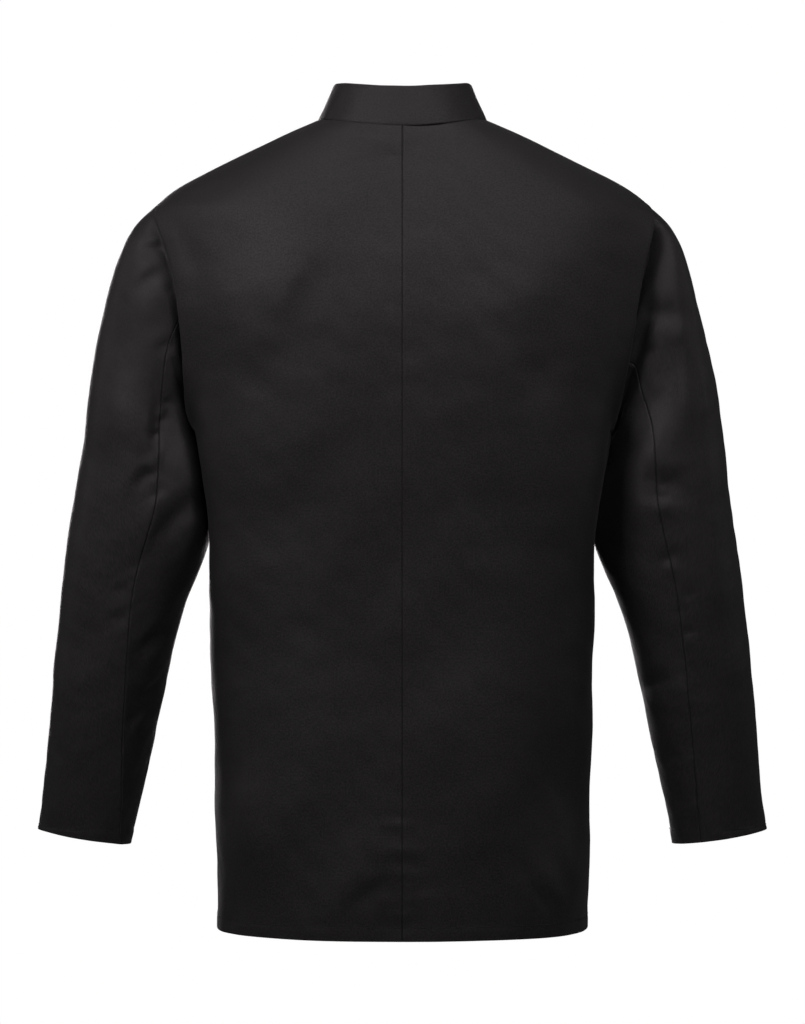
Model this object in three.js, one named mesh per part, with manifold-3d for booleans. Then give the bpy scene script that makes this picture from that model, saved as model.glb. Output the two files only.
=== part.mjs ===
// A long-sleeved, double-breasted chef jacket in black cotton cloth, filled out as on a wearer and open
// at neck, hem and cuffs. Millimetres, +Z up, -Y the garment's front, +X the wearer's left. The origin
// is the middle of the neck opening, level with the points where the shoulder seams meet the collar.
//
// The body is cut from one form: a stack of level rings, from the hem up over the shoulders to the
// neck. Each panel is a four-sided patch of that form, bounded by its seams. A sleeve is a tube of
// leaning rings, from the armhole to the cuff. Every cloth piece is a wall of even thickness, with a
// hairline gap to its neighbour at the seam.
import * as THREE from "three";
import { mergeVertices } from "three/addons/utils/BufferGeometryUtils.js";
import Module from "manifold-3d";

// Driving sizes of the whole garment.
const HEM_Z = -765;
const SHOULDER_TIP_Z = -78;
const UNDERARM_Z = -295;
const NECK_POINT_Z = -1;
const NECK_HALF_WIDTH = 80;
const BACK_NECK_Z = -12;
const FRONT_NECK_Z = -75;
const FRONT_NECK_SCOOP = 0.55;
const CLOTH = 1.8;
const SEAM_GAP = 0.3;

// The body's form, a row for each level ring, from the hem up. half is half the ring's width. back and
// front are how far it reaches behind and before the wearer's middle. widest is how far back its widest
// point lies. square is the ring's exponent: 2 is an ellipse, and more is boxier. Above the shoulder
// tip, half follows the shoulder seam.
const BODY_RINGS = [
  { z: HEM_Z, half: 176, back: 129, front: 134, widest: 0, square: 2.0 },
  { z: -700, half: 177.5, back: 126, front: 135, widest: 0, square: 2.1 },
  { z: -600, half: 179, back: 120, front: 136, widest: 4, square: 2.2 },
  { z: -500, half: 180.5, back: 115, front: 137, widest: 12, square: 2.3 },
  { z: -401, half: 182, back: 116, front: 138, widest: 26, square: 2.3 },
  { z: -330, half: 189.5, back: 120, front: 137, widest: 32, square: 2.3 },
  { z: -266, half: 201, back: 123, front: 133, widest: 22, square: 2.3 },
  { z: -200, half: 218, back: 122, front: 124, widest: 9, square: 2.3 },
  { z: -140, half: 231, back: 115, front: 109, widest: 3, square: 2.3 },
  { z: -90, half: 240, back: 103, front: 90, widest: 0, square: 2.3 },
  { z: -70, half: 222, back: 97, front: 81, widest: 0, square: 2.3 },
  { z: -39, half: 163, back: 87, front: 61, widest: 0, square: 2.3 },
  { z: -11, half: 104, back: 75, front: 39, widest: 0, square: 2.3 },
  { z: NECK_POINT_Z, half: NECK_HALF_WIDTH, back: 68, front: 30, widest: 0, square: 2.3 },
];

// The armhole is an egg in the side view, laid on the form. Its back edge differs a little from side to
// side.
const UNDERARM_Y = -8;
const ARMHOLE_BACK_REACH = { left: 58, right: 42 };
const ARMHOLE_FRONT_REACH = 60;

// Each front laps past the wearer's middle: by LAP_TURN degrees round the neckline, and by HEM_LAP at
// the hem.
const LAP_TURN = 50;
const HEM_LAP = 54;

// How far the side seam draws the hem up.
const SIDE_SEAM_LIFT = 9;

// Rows and columns of the panels' grids. Rows run from the hem to the underarm, round the armhole by
// ARMHOLE_STEP degrees a row, and along the shoulder. Columns meet the neckline every NECK_STEP
// degrees.
const SIDE_ROWS = 9;
const ARMHOLE_STEP = 18;
const SHOULDER_ROWS = 5;
const NECK_STEP = 10;
// How late the rows take up the neckline's curve, as a power of their share of the way up.
const NECK_CURVE_POWER = 4;

// The sleeve's two edges in the back view, from the armhole to the cuff, and its depth before and
// behind mid at shares of its length.
const SLEEVE_OUTER_EDGE = [
  { x: 238, z: SHOULDER_TIP_Z },
  { x: 260, z: -101 },
  { x: 278, z: -150 },
  { x: 292, z: -222 },
  { x: 306.5, z: -312 },
  { x: 320.5, z: -412 },
  { x: 331, z: -507 },
  { x: 340, z: -602 },
  { x: 347.5, z: -674 },
];
const SLEEVE_INNER_EDGE = [
  { x: 194, z: UNDERARM_Z },
  { x: 188.5, z: -330 },
  { x: 184.5, z: -362 },
  { x: 182.5, z: -392 },
  { x: 189, z: -415 },
  { x: 207, z: -460 },
  { x: 220, z: -509 },
  { x: 235.5, z: -577 },
  { x: 251, z: -647 },
  { x: 259, z: -688 },
];
const SLEEVE_DEPTHS = [
  { share: 0, back: 50, front: 60, mid: -4 },
  { share: 0.12, back: 60, front: 66, mid: -8 },
  { share: 0.3, back: 62, front: 68, mid: -12 },
  { share: 0.5, back: 59, front: 61, mid: -14 },
  { share: 0.75, back: 51, front: 51, mid: -18 },
  { share: 1, back: 44, front: 44, mid: -26 },
];
// The inner edge's points crowd towards the underarm, so that the rings swing from the armhole's slope
// to the cuff's.
const RING_SWING = 1.6;
// How far down the sleeve the armhole's own shape reaches, as a share of its length.
const CAP_SHARE = 0.3;
// The elbow seam's place round the sleeve in degrees, from 0 on its outer edge to 180 on its inner one.
const ELBOW_SEAM = [
  { share: 0, left: 90, right: 108 },
  { share: 0.12, left: 100, right: 97 },
  { share: 0.3, left: 104, right: 91 },
  { share: 0.55, left: 101, right: 97 },
  { share: 0.8, left: 114, right: 104 },
  { share: 1, left: 139, right: 117 },
];
const FRONT_SLEEVE_SEAM = -126;
const SLEEVE_ROWS = 17;
const ELBOW_ROW = 9;
const SLEEVE_ROW_CROWDING = 1.15;
// The sleeve starts this far outside the body's edge.
const SLEEVE_STANDOFF = 0.9;

// The collar is a straight-cut band that leans towards the neck.
const COLLAR_DEPTH = 38;
const COLLAR_CLOTH = 2.4;
const COLLAR_LEAN = { side: 15.5, back: 10, front: 9 };
const COLLAR_END_GAP = 1.5;
const COLLAR_ROWS = 2;

// The largest folds: soft ridges (depth above 0) and troughs (below 0) along a straight run in the back
// or front view, x from the wearer's middle towards their left. width is the distance over which a fold
// fades out.
const FOLDS = [
  { face: "back", x1: 232, z1: -152, x2: 262, z2: -178, width: 13, depth: -5 },
  { face: "back", x1: 205, z1: -300, x2: 232, z2: -390, width: 16, depth: 4 },
  { face: "back", x1: 200, z1: -372, x2: 246, z2: -428, width: 14, depth: -5 },
  { face: "back", x1: 222, z1: -482, x2: 256, z2: -516, width: 13, depth: -4 },
  { face: "back", x1: -230, z1: -182, x2: -268, z2: -184, width: 12, depth: -5 },
  { face: "back", x1: -228, z1: -350, x2: -276, z2: -346, width: 13, depth: -4 },
  { face: "back", x1: -224, z1: -556, x2: -258, z2: -536, width: 12, depth: -3.5 },
  { face: "back", x1: 148, z1: -500, x2: 152, z2: -742, width: 16, depth: -3.5 },
  { face: "back", x1: -132, z1: -600, x2: -160, z2: -745, width: 16, depth: 3.5 },
  { face: "back", x1: 8, z1: -722, x2: 56, z2: -752, width: 13, depth: -3.5 },
  { face: "front", x1: 204, z1: -300, x2: 244, z2: -372, width: 15, depth: -4 },
  { face: "front", x1: -206, z1: -310, x2: -240, z2: -366, width: 14, depth: -4 },
  { face: "front", x1: 226, z1: -420, x2: 286, z2: -436, width: 14, depth: -4 },
  { face: "front", x1: -224, z1: -430, x2: -282, z2: -418, width: 13, depth: -4 },
  { face: "front", x1: 150, z1: -480, x2: 146, z2: -735, width: 18, depth: -3.5 },
  { face: "front", x1: -148, z1: -500, x2: -150, z2: -740, width: 17, depth: -3.5 },
];

// Buttons: flat, sewn through four holes, in two columns that draw in towards the waist.
const BUTTON_DIAMETER = 20;
const BUTTON_THICKNESS = 3.6;
const BUTTON_RIM = 2.6;
const BUTTON_EDGE = 1.2;
const BUTTON_DISH = 0.9;
const BUTTON_HOLE = 2.0;
const BUTTON_HOLE_SPREAD = 2.3;
const BUTTON_ROWS = 5;
const BUTTON_SEGMENTS = 16;
const HOLE_SEGMENTS = 6;
const BUTTON_TOP_Z = -118;
const BUTTON_STEP = 88;
const BUTTON_COLUMN_X = { top: 46, bottom: 40 };
const BUTTON_CLEARANCE = 0.75;

const BLACK_CLOTH = new THREE.MeshStandardMaterial({ color: 0x2b2a2b, roughness: 0.85, metalness: 0 });
const BLACK_BUTTON = new THREE.MeshStandardMaterial({ color: 0x161616, roughness: 0.45, metalness: 0 });

const { degToRad, radToDeg, lerp, clamp } = THREE.MathUtils;

// A smooth curve through a table's column: a cubic between rows whose slopes never overshoot.
function columnOf(rows, along, column) {
  const at = rows.map((row) => row[along]);
  const value = rows.map((row) => row[column]);
  const step = at.slice(1).map((a, i) => (value[i + 1] - value[i]) / (a - at[i]));
  const slope = at.map((_, i) => {
    if (i === 0) return step[0];
    if (i === at.length - 1) return step[i - 1];
    const [before, after] = [step[i - 1], step[i]];
    return before * after <= 0 ? 0 : (2 * before * after) / (before + after);
  });
  return (wanted) => {
    const a = clamp(wanted, at[0], at[at.length - 1]);
    let i = 0;
    while (i < at.length - 2 && a > at[i + 1]) i += 1;
    const gap = at[i + 1] - at[i];
    const s = (a - at[i]) / gap;
    const rise = value[i + 1] - value[i];
    const bend = s * s * (3 - 2 * s);
    return (
      value[i] + rise * bend + gap * s * (1 - s) * (slope[i] * (1 - s) - slope[i + 1] * s)
    );
  };
}

const ringHalf = columnOf(BODY_RINGS, "z", "half");
const ringBack = columnOf(BODY_RINGS, "z", "back");
const ringFront = columnOf(BODY_RINGS, "z", "front");
const ringWidest = columnOf(BODY_RINGS, "z", "widest");
const ringSquare = columnOf(BODY_RINGS, "z", "square");

const signedPower = (value, power) => Math.sign(value) * Math.abs(value) ** power;

// A point of the body's form. angle runs from 0 at the centre back, over 90 at the widest point, to 180
// at the centre front, and on past it. side is 1 on the wearer's left and -1 on their right.
function bodyPoint(angle, z, side) {
  const power = 2 / ringSquare(z);
  const across = Math.sin(degToRad(angle));
  const along = Math.cos(degToRad(angle));
  const widest = ringWidest(z);
  const depth = along > 0 ? ringBack(z) - widest : ringFront(z) + widest;
  return new THREE.Vector3(
    side * ringHalf(z) * signedPower(across, power),
    widest + depth * signedPower(along, power),
    z,
  );
}

// The angle at which the form's ring at z passes through depth y, on its way from back to front.
function angleAtY(y, z) {
  const widest = ringWidest(z);
  const depth = y > widest ? ringBack(z) - widest : ringFront(z) + widest;
  const along = signedPower((y - widest) / depth, ringSquare(z) / 2);
  return radToDeg(Math.acos(clamp(along, -1, 1)));
}

// The angle at which the ring passes through x, on its back half or its front half.
function angleAtX(x, z, face) {
  const across = signedPower(x / ringHalf(z), ringSquare(z) / 2);
  const angle = radToDeg(Math.asin(clamp(across, -1, 1)));
  return face === "back" ? angle : 180 - angle;
}

const SIDE_SEAM_ANGLE = angleAtY(UNDERARM_Y, UNDERARM_Z);
const NECK_LAP = NECK_HALF_WIDTH * Math.sin(degToRad(LAP_TURN));
const ARMHOLE_ROWS = 180 / ARMHOLE_STEP;

// A point of the armhole as an angle and height of the form: turn is 0 at the shoulder tip and 180 at
// the underarm.
function armholeAt(turn, face, sideName) {
  const down = (1 - Math.cos(degToRad(turn))) / 2;
  const z = lerp(SHOULDER_TIP_Z, UNDERARM_Z, down);
  const reach = face === "back" ? ARMHOLE_BACK_REACH[sideName] : -ARMHOLE_FRONT_REACH;
  const y = UNDERARM_Y * down + reach * Math.sin(degToRad(turn));
  return { angle: angleAtY(y, z), z };
}

// The height of the neckline at distance x from the wearer's middle.
function necklineZ(x, face) {
  const out = Math.min(1, Math.abs(x) / NECK_HALF_WIDTH);
  if (face === "back") return BACK_NECK_Z + (NECK_POINT_Z - BACK_NECK_Z) * out ** 2;
  return FRONT_NECK_Z + (NECK_POINT_Z - FRONT_NECK_Z) * (1 - (1 - out ** 2) ** FRONT_NECK_SCOOP);
}

// A point of the neckline as an angle and height of the form. turn is 0 at the centre and 90 at the
// neck point, and below 0 past the centre.
function necklineAt(turn, face) {
  const x = NECK_HALF_WIDTH * Math.sin(degToRad(turn));
  const z = necklineZ(x, face);
  return { angle: angleAtX(x, z, face), z };
}

// How far a point with that outward normal is moved by the folds that cross it.
function foldDepth(point, normal) {
  let sum = 0;
  for (const fold of FOLDS) {
    const facing = fold.face === "back" ? normal.y : -normal.y;
    if (facing < 0.05) continue;
    const run = new THREE.Vector2(fold.x2 - fold.x1, fold.z2 - fold.z1);
    const off = new THREE.Vector2(point.x - fold.x1, point.z - fold.z1);
    const share = off.dot(run) / run.lengthSq();
    const beyond = Math.max(0, Math.abs(share - 0.5) - 0.5) * run.length();
    const aside = Math.abs(off.cross(run)) / run.length();
    const away = Math.hypot(aside, beyond) / fold.width;
    sum += fold.depth * Math.exp(-away * away) * Math.min(1, 3 * facing);
  }
  return sum;
}

// The outward normal of a surface at (a, b): its two slopes crossed, and turned away from the point
// inside.
function normalAt(surface, a, b, stepA, stepB, inside) {
  const alongA = surface(a + stepA, b).sub(surface(a - stepA, b));
  const alongB = surface(a, b + stepB).sub(surface(a, b - stepB));
  const normal = alongA.cross(alongB).normalize();
  return normal.dot(surface(a, b).sub(inside)) < 0 ? normal.negate() : normal;
}

// A closed wall between an outer and an inner grid of points with the same rows and columns.
function wallGeometry(outer, inner) {
  const rows = outer.length;
  const columns = outer[0].length;
  const points = [...outer.flat(), ...inner.flat()];
  const index = [];
  const at = (layer, i, j) => layer * rows * columns + i * columns + j;
  const quad = (a, b, c, d) => index.push(a, b, c, a, c, d);
  for (let i = 0; i < rows - 1; i += 1) {
    for (let j = 0; j < columns - 1; j += 1) {
      quad(at(0, i, j), at(0, i, j + 1), at(0, i + 1, j + 1), at(0, i + 1, j));
      quad(at(1, i, j), at(1, i + 1, j), at(1, i + 1, j + 1), at(1, i, j + 1));
    }
    const last = columns - 1;
    quad(at(0, i, 0), at(0, i + 1, 0), at(1, i + 1, 0), at(1, i, 0));
    quad(at(0, i, last), at(1, i, last), at(1, i + 1, last), at(0, i + 1, last));
  }
  for (let j = 0; j < columns - 1; j += 1) {
    const last = rows - 1;
    quad(at(0, 0, j), at(1, 0, j), at(1, 0, j + 1), at(0, 0, j + 1));
    quad(at(0, last, j), at(0, last, j + 1), at(1, last, j + 1), at(1, last, j));
  }
  const volume = index.reduce((sum, _, i) => {
    if (i % 3) return sum;
    const [a, b, c] = [points[index[i]], points[index[i + 1]], points[index[i + 2]]];
    return sum + a.dot(b.clone().cross(c));
  }, 0);
  if (volume < 0) index.reverse();
  return new THREE.BufferGeometry().setFromPoints(points).setIndex(index);
}

// Draws a grid's first and last columns in along its rows by half a seam gap, or by the distances given.
function trimSides(grid, first = SEAM_GAP / 2, last = SEAM_GAP / 2) {
  for (const row of grid) {
    const n = row.length - 1;
    const inFirst = row[1].clone().sub(row[0]).setLength(first);
    const inLast = row[n - 1].clone().sub(row[n]).setLength(last);
    row[0].add(inFirst);
    row[n].add(inLast);
  }
  return grid;
}

// A wall on a grid of surface points with their normals, with the folds and any inset of the layer below.
function clothWall(points, normals, thickness, inset = () => 0) {
  const moved = (depth) =>
    points.map((row, i) =>
      row.map((point, j) => {
        const normal = normals[i][j];
        const out = foldDepth(point, normal) - inset(point) - depth;
        return point.clone().addScaledVector(normal, out);
      }),
    );
  return wallGeometry(moved(0), moved(thickness));
}

function makeMesh(name, geometry, material = BLACK_CLOTH) {
  const mesh = new THREE.Mesh(geometry, material);
  mesh.name = name;
  return mesh;
}

const SIDES = [
  { name: "left", sign: 1 },
  { name: "right", sign: -1 },
];

// A point on the wearer's middle line this far below a surface point is inside the form, under the
// shoulders too.
const INSIDE_DROP = 60;

// The outer edge of a body panel, from the hem up the side seam, round the armhole and along the
// shoulder.
function panelEdge(face, sideName) {
  const edge = [];
  for (let i = 0; i < SIDE_ROWS; i += 1) {
    edge.push({ angle: SIDE_SEAM_ANGLE, z: lerp(HEM_Z, UNDERARM_Z, i / SIDE_ROWS) });
  }
  for (let i = 0; i < ARMHOLE_ROWS; i += 1) {
    edge.push(armholeAt(180 * (1 - i / ARMHOLE_ROWS), face, sideName));
  }
  for (let i = 0; i <= SHOULDER_ROWS; i += 1) {
    edge.push({ angle: 90, z: lerp(SHOULDER_TIP_Z, NECK_POINT_Z, i / SHOULDER_ROWS) });
  }
  return edge;
}

// The angle of a front's lap edge, which lies past the wearer's middle.
function lapAngle(z, neckZ) {
  const lap = lerp(HEM_LAP, NECK_LAP, (z - HEM_Z) / (neckZ - HEM_Z));
  return 360 - angleAtX(lap, z, "front");
}

// A body panel, as a patch between its centre edge, its outer edge, the hem and the neckline.
function bodyPanel(face, side) {
  const centreTurn = face === "back" ? 0 : -LAP_TURN;
  const columns = (90 - centreTurn) / NECK_STEP;
  const edge = panelEdge(face, side.name);
  const rows = edge.length - 1;
  const neck = (u) => necklineAt(lerp(centreTurn, 90, u), face);
  const neckCentre = neck(0);
  const centreZ = (i) =>
    i < SIDE_ROWS
      ? lerp(HEM_Z, UNDERARM_Z, i / SIDE_ROWS)
      : lerp(UNDERARM_Z, neckCentre.z, (i - SIDE_ROWS) / (rows - SIDE_ROWS));
  const centreAngle = (i) => (face === "back" ? 0 : lapAngle(centreZ(i), neckCentre.z));
  const surface = (angle, z) => bodyPoint(angle, z, side.sign);
  const points = [];
  const normals = [];
  // The side seam draws the corner of the hem up a little.
  const lift = (i, j) => (i === 0 && j === columns ? SIDE_SEAM_LIFT : 0);
  for (let i = 0; i <= rows; i += 1) {
    const neckShare = (i / rows) ** NECK_CURVE_POWER;
    points.push([]);
    normals.push([]);
    for (let j = 0; j <= columns; j += 1) {
      const u = j / columns;
      const top = neck(u);
      const straightAngle = lerp(centreAngle(rows), 90, u);
      const straightZ = lerp(neckCentre.z, NECK_POINT_Z, u);
      const angle = lerp(centreAngle(i), edge[i].angle, u) + neckShare * (top.angle - straightAngle);
      const level = lerp(centreZ(i), edge[i].z, u) + lift(i, j);
      const z = level + neckShare * (top.z - straightZ);
      points[i].push(surface(angle, z));
      normals[i].push(normalAt(surface, angle, z, 1.5, 1, new THREE.Vector3(0, 0, z - INSIDE_DROP)));
    }
  }
  const centreTrim = face === "back" ? SEAM_GAP / 2 : 0;
  trimSides(points, centreTrim, SEAM_GAP / 2);
  return { points, normals };
}

// The right front lies under the left one, so it steps in where the two lap.
const LAP_STEP = CLOTH + 0.7;
const LAP_STEP_START = -96;
const LAP_STEP_WIDTH = 28;
function underLap(point) {
  const share = clamp((point.x - LAP_STEP_START) / LAP_STEP_WIDTH, 0, 1);
  return LAP_STEP * share * share * (3 - 2 * share);
}

// Every panel is one piece of cloth made as two solids, an upper and a lower one, which part by a hairline
// at the given row, so that each is a simple bend.
function splitPanel(name, panel, parting, thickness, inset) {
  const rows = panel.points.length;
  const wall = (fromRow, toRow) => {
    const points = panel.points.slice(fromRow, toRow).map((row) => row.map((point) => point.clone()));
    const nudge = SEAM_GAP / 2;
    if (fromRow > 0) drawTogether(points[0], points[1], nudge);
    if (toRow < rows) drawTogether(points.at(-1), points.at(-2), nudge);
    return clothWall(points, panel.normals.slice(fromRow, toRow), thickness, inset);
  };
  const [first, second] = [wall(0, parting + 1), wall(parting, rows)];
  const upwards = panel.points[0][0].z < panel.points.at(-1)[0].z;
  const [lower, upper] = upwards ? [first, second] : [second, first];
  return [makeMesh(`lower_${name}`, lower), makeMesh(`upper_${name}`, upper)];
}

// Moves each point of a row towards the same point of another row.
function drawTogether(row, towards, distance) {
  row.forEach((point, j) => point.add(towards[j].clone().sub(point).setLength(distance)));
}

function bodyMeshes() {
  return SIDES.flatMap((side) => {
    const inset = side.name === "right" ? underLap : undefined;
    const [back, front] = [bodyPanel("back", side), bodyPanel("front", side)];
    return [
      ...splitPanel(`back_${side.name}`, back, SIDE_ROWS, CLOTH),
      ...splitPanel(`front_${side.name}`, front, SIDE_ROWS, CLOTH, inset),
    ];
  });
}

// Points along an edge given as rows of x and z, at shares of its length.
function edgeCurve(rows) {
  const curve = new THREE.CatmullRomCurve3(
    rows.map((row) => new THREE.Vector3(row.x, 0, row.z)),
    false,
    "centripetal",
  );
  curve.arcLengthDivisions = 400;
  return (share) => curve.getPointAt(clamp(share, 0, 1));
}

const sleeveOuter = edgeCurve(SLEEVE_OUTER_EDGE);
const sleeveInner = edgeCurve(SLEEVE_INNER_EDGE);
const sleeveBack = columnOf(SLEEVE_DEPTHS, "share", "back");
const sleeveFront = columnOf(SLEEVE_DEPTHS, "share", "front");
const sleeveMid = columnOf(SLEEVE_DEPTHS, "share", "mid");

// A sleeve's leaning ring without the armhole's shape. turn is 0 on the outer edge, 90 at the back, 180
// inside.
function sleeveRing(turn, share, sign) {
  const outer = sleeveOuter(share);
  const inner = sleeveInner(share ** RING_SWING);
  const point = outer.clone().add(inner).multiplyScalar(0.5);
  point.addScaledVector(outer.sub(inner), 0.5 * Math.cos(degToRad(turn)));
  const behind = Math.sin(degToRad(turn));
  point.y = sleeveMid(share) + behind * (behind > 0 ? sleeveBack(share) : sleeveFront(share));
  point.x *= sign;
  return point;
}

// A point of the sleeve, which starts as the armhole and loses that shape on the way down.
function sleevePoint(turn, share, side) {
  const point = sleeveRing(turn, share, side.sign);
  const left = 1 - clamp(share / CAP_SHARE, 0, 1);
  if (left === 0) return point;
  const around = turn > 180 ? turn - 360 : turn;
  const hole = armholeAt(Math.abs(around), around > 0 ? "back" : "front", side.name);
  const start = bodyPoint(hole.angle, hole.z, side.sign);
  start.x += side.sign * SLEEVE_STANDOFF;
  return point.addScaledVector(start.sub(sleeveRing(turn, 0, side.sign)), left * left);
}

function sleevePanel(side, fromTurn, toTurn) {
  const columns = (toTurn(0) - fromTurn(0)) / ARMHOLE_STEP;
  const surface = (turn, share) => sleevePoint(turn, Math.max(0, share), side);
  const points = [];
  const normals = [];
  for (let i = 0; i <= SLEEVE_ROWS; i += 1) {
    const share = (i / SLEEVE_ROWS) ** SLEEVE_ROW_CROWDING;
    const outer = sleeveOuter(share);
    const middle = outer.add(sleeveInner(share ** RING_SWING)).multiplyScalar(0.5);
    middle.y = sleeveMid(share);
    middle.x *= side.sign;
    points.push([]);
    normals.push([]);
    for (let j = 0; j <= columns; j += 1) {
      const turn = lerp(fromTurn(share), toTurn(share), j / columns);
      points[i].push(surface(turn, share));
      normals[i].push(normalAt(surface, turn, share, 2, 0.01, middle));
    }
  }
  return { points: trimSides(points), normals };
}

function sleeveMeshes() {
  return SIDES.flatMap((side) => {
    const elbow = columnOf(ELBOW_SEAM, "share", side.name);
    const front = () => FRONT_SLEEVE_SEAM;
    const frontFromBehind = () => FRONT_SLEEVE_SEAM + 360;
    const [top, under] = [sleevePanel(side, front, elbow), sleevePanel(side, elbow, frontFromBehind)];
    return [
      ...splitPanel(`top_sleeve_${side.name}`, top, ELBOW_ROW, CLOTH),
      ...splitPanel(`under_sleeve_${side.name}`, under, ELBOW_ROW, CLOTH),
    ];
  });
}

// The collar stands on the neckline, from its end at the wearer's left front, round the back, to its
// other end.
function collarMesh() {
  const base = (turn) => {
    const around = Math.abs(turn);
    const at = around <= 90 ? necklineAt(around, "back") : necklineAt(180 - around, "front");
    return bodyPoint(at.angle, at.z, Math.sign(turn) || 1);
  };
  const surface = (turn, up) => {
    const foot = base(turn);
    const toSide = Math.abs(Math.sin(degToRad(turn)));
    const ends = Math.cos(degToRad(turn)) > 0 ? COLLAR_LEAN.back : COLLAR_LEAN.front;
    const lean = lerp(ends, COLLAR_LEAN.side, toSide);
    const inward = new THREE.Vector3(-foot.x, -foot.y, 0).setLength(lean * up);
    foot.add(inward);
    foot.z += SEAM_GAP + Math.sqrt(COLLAR_DEPTH ** 2 - lean ** 2) * up;
    return foot;
  };
  const columns = 360 / NECK_STEP;
  const points = [];
  const normals = [];
  for (let i = 0; i <= COLLAR_ROWS; i += 1) {
    const up = i / COLLAR_ROWS;
    points.push([]);
    normals.push([]);
    for (let j = 0; j <= columns; j += 1) {
      const turn = 180 - j * NECK_STEP;
      const middle = new THREE.Vector3(0, 0, surface(turn, up).z);
      points[i].push(surface(turn, up));
      normals[i].push(normalAt(surface, turn, up, 0.5, 0.05, middle));
    }
  }
  trimSides(points, COLLAR_END_GAP / 2, COLLAR_END_GAP / 2);
  return makeMesh("collar", clothWall(points, normals, COLLAR_CLOTH));
}

const wasm = await Module();
wasm.setup();

function solidOf(geometry) {
  geometry.deleteAttribute("normal");
  geometry.deleteAttribute("uv");
  const merged = mergeVertices(geometry, 1e-4);
  return new wasm.Manifold(
    new wasm.Mesh({
      numProp: 3,
      vertProperties: new Float32Array(merged.attributes.position.array),
      triVerts: new Uint32Array(merged.index.array),
    }),
  );
}

function geometryOf(solid) {
  const mesh = solid.getMesh();
  return new THREE.BufferGeometry()
    .setAttribute("position", new THREE.BufferAttribute(new Float32Array(mesh.vertProperties), 3))
    .setIndex(new THREE.BufferAttribute(new Uint32Array(mesh.triVerts), 1));
}

// A button lying on the plane z = 0, face up, with its four holes cut through.
function buttonGeometry() {
  const radius = BUTTON_DIAMETER / 2;
  const dish = BUTTON_THICKNESS - BUTTON_DISH;
  const profile = [
    [0, 0],
    [radius - BUTTON_EDGE, 0],
    [radius, BUTTON_EDGE],
    [radius, BUTTON_THICKNESS - BUTTON_EDGE],
    [radius - BUTTON_EDGE, BUTTON_THICKNESS],
    [radius - BUTTON_RIM, BUTTON_THICKNESS],
    [radius - BUTTON_RIM - BUTTON_EDGE, dish],
    [0, dish],
  ].map(([across, up]) => new THREE.Vector2(across, up));
  const disc = new THREE.LatheGeometry(profile, BUTTON_SEGMENTS).rotateX(Math.PI / 2);
  let solid = solidOf(disc);
  for (const x of [-1, 1]) {
    for (const y of [-1, 1]) {
      const radiusOfHole = BUTTON_HOLE / 2;
      const drill = new THREE.CylinderGeometry(radiusOfHole, radiusOfHole, BUTTON_DIAMETER, HOLE_SEGMENTS);
      drill.rotateX(Math.PI / 2).translate((x * BUTTON_HOLE_SPREAD) / 2, (y * BUTTON_HOLE_SPREAD) / 2, 0);
      solid = solid.subtract(solidOf(drill));
    }
  }
  return geometryOf(solid);
}

// The buttons lie flat on the left front, which is the upper layer.
function buttonMeshes() {
  const geometry = buttonGeometry();
  const meshes = [];
  for (let row = 0; row < BUTTON_ROWS; row += 1) {
    for (const side of SIDES) {
      const z = BUTTON_TOP_Z - BUTTON_STEP * row;
      const x = lerp(BUTTON_COLUMN_X.top, BUTTON_COLUMN_X.bottom, row / (BUTTON_ROWS - 1));
      const surface = (angle, height) => bodyPoint(angle, height, side.sign);
      const angle = angleAtX(x, z, "front");
      const normal = normalAt(surface, angle, z, 3, 6, new THREE.Vector3(0, 0, z));
      const mesh = makeMesh(`button_${side.name}_${row + 1}`, geometry, BLACK_BUTTON);
      mesh.position.copy(surface(angle, z).addScaledVector(normal, BUTTON_CLEARANCE));
      mesh.quaternion.setFromUnitVectors(new THREE.Vector3(0, 0, 1), normal);
      meshes.push(mesh);
    }
  }
  return meshes;
}

const jacket = new THREE.Group();
jacket.add(...bodyMeshes(), ...sleeveMeshes(), collarMesh(), ...buttonMeshes());

export default jacket;
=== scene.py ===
import math

import bmesh
import bpy
import numpy as np
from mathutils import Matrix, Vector
from mathutils.geometry import delaunay_2d_cdt


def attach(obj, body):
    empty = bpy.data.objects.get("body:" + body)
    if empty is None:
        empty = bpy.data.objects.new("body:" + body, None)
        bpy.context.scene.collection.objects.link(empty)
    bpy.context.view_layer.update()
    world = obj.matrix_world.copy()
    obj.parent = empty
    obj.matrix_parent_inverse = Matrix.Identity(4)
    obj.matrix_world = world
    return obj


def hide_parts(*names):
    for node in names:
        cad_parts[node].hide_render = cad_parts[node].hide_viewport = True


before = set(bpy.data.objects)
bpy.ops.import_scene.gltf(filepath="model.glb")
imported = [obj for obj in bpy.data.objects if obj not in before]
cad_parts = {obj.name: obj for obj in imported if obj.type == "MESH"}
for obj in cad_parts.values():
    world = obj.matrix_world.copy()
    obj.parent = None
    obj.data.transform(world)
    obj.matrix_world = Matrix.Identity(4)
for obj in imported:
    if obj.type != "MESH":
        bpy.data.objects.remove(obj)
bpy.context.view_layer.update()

MM = 0.001

# The studio: a level camera behind the jacket, a pale floor where the wearer would stand, and a white
# surround. Two narrow-beamed lamps hang above and behind it, to its left and right, and a wide one hangs
# overhead. Weaker ones fill in from low behind and from both sides, and a strong one lights the front.
CAMERA_DISTANCE = 3.5
CAMERA_HEIGHT = -0.3715
VIEW_HEIGHT = 0.9728
SENSOR = 36
FLOOR_Z = -1.45
FLOOR_RADIUS = 3.6

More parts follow.
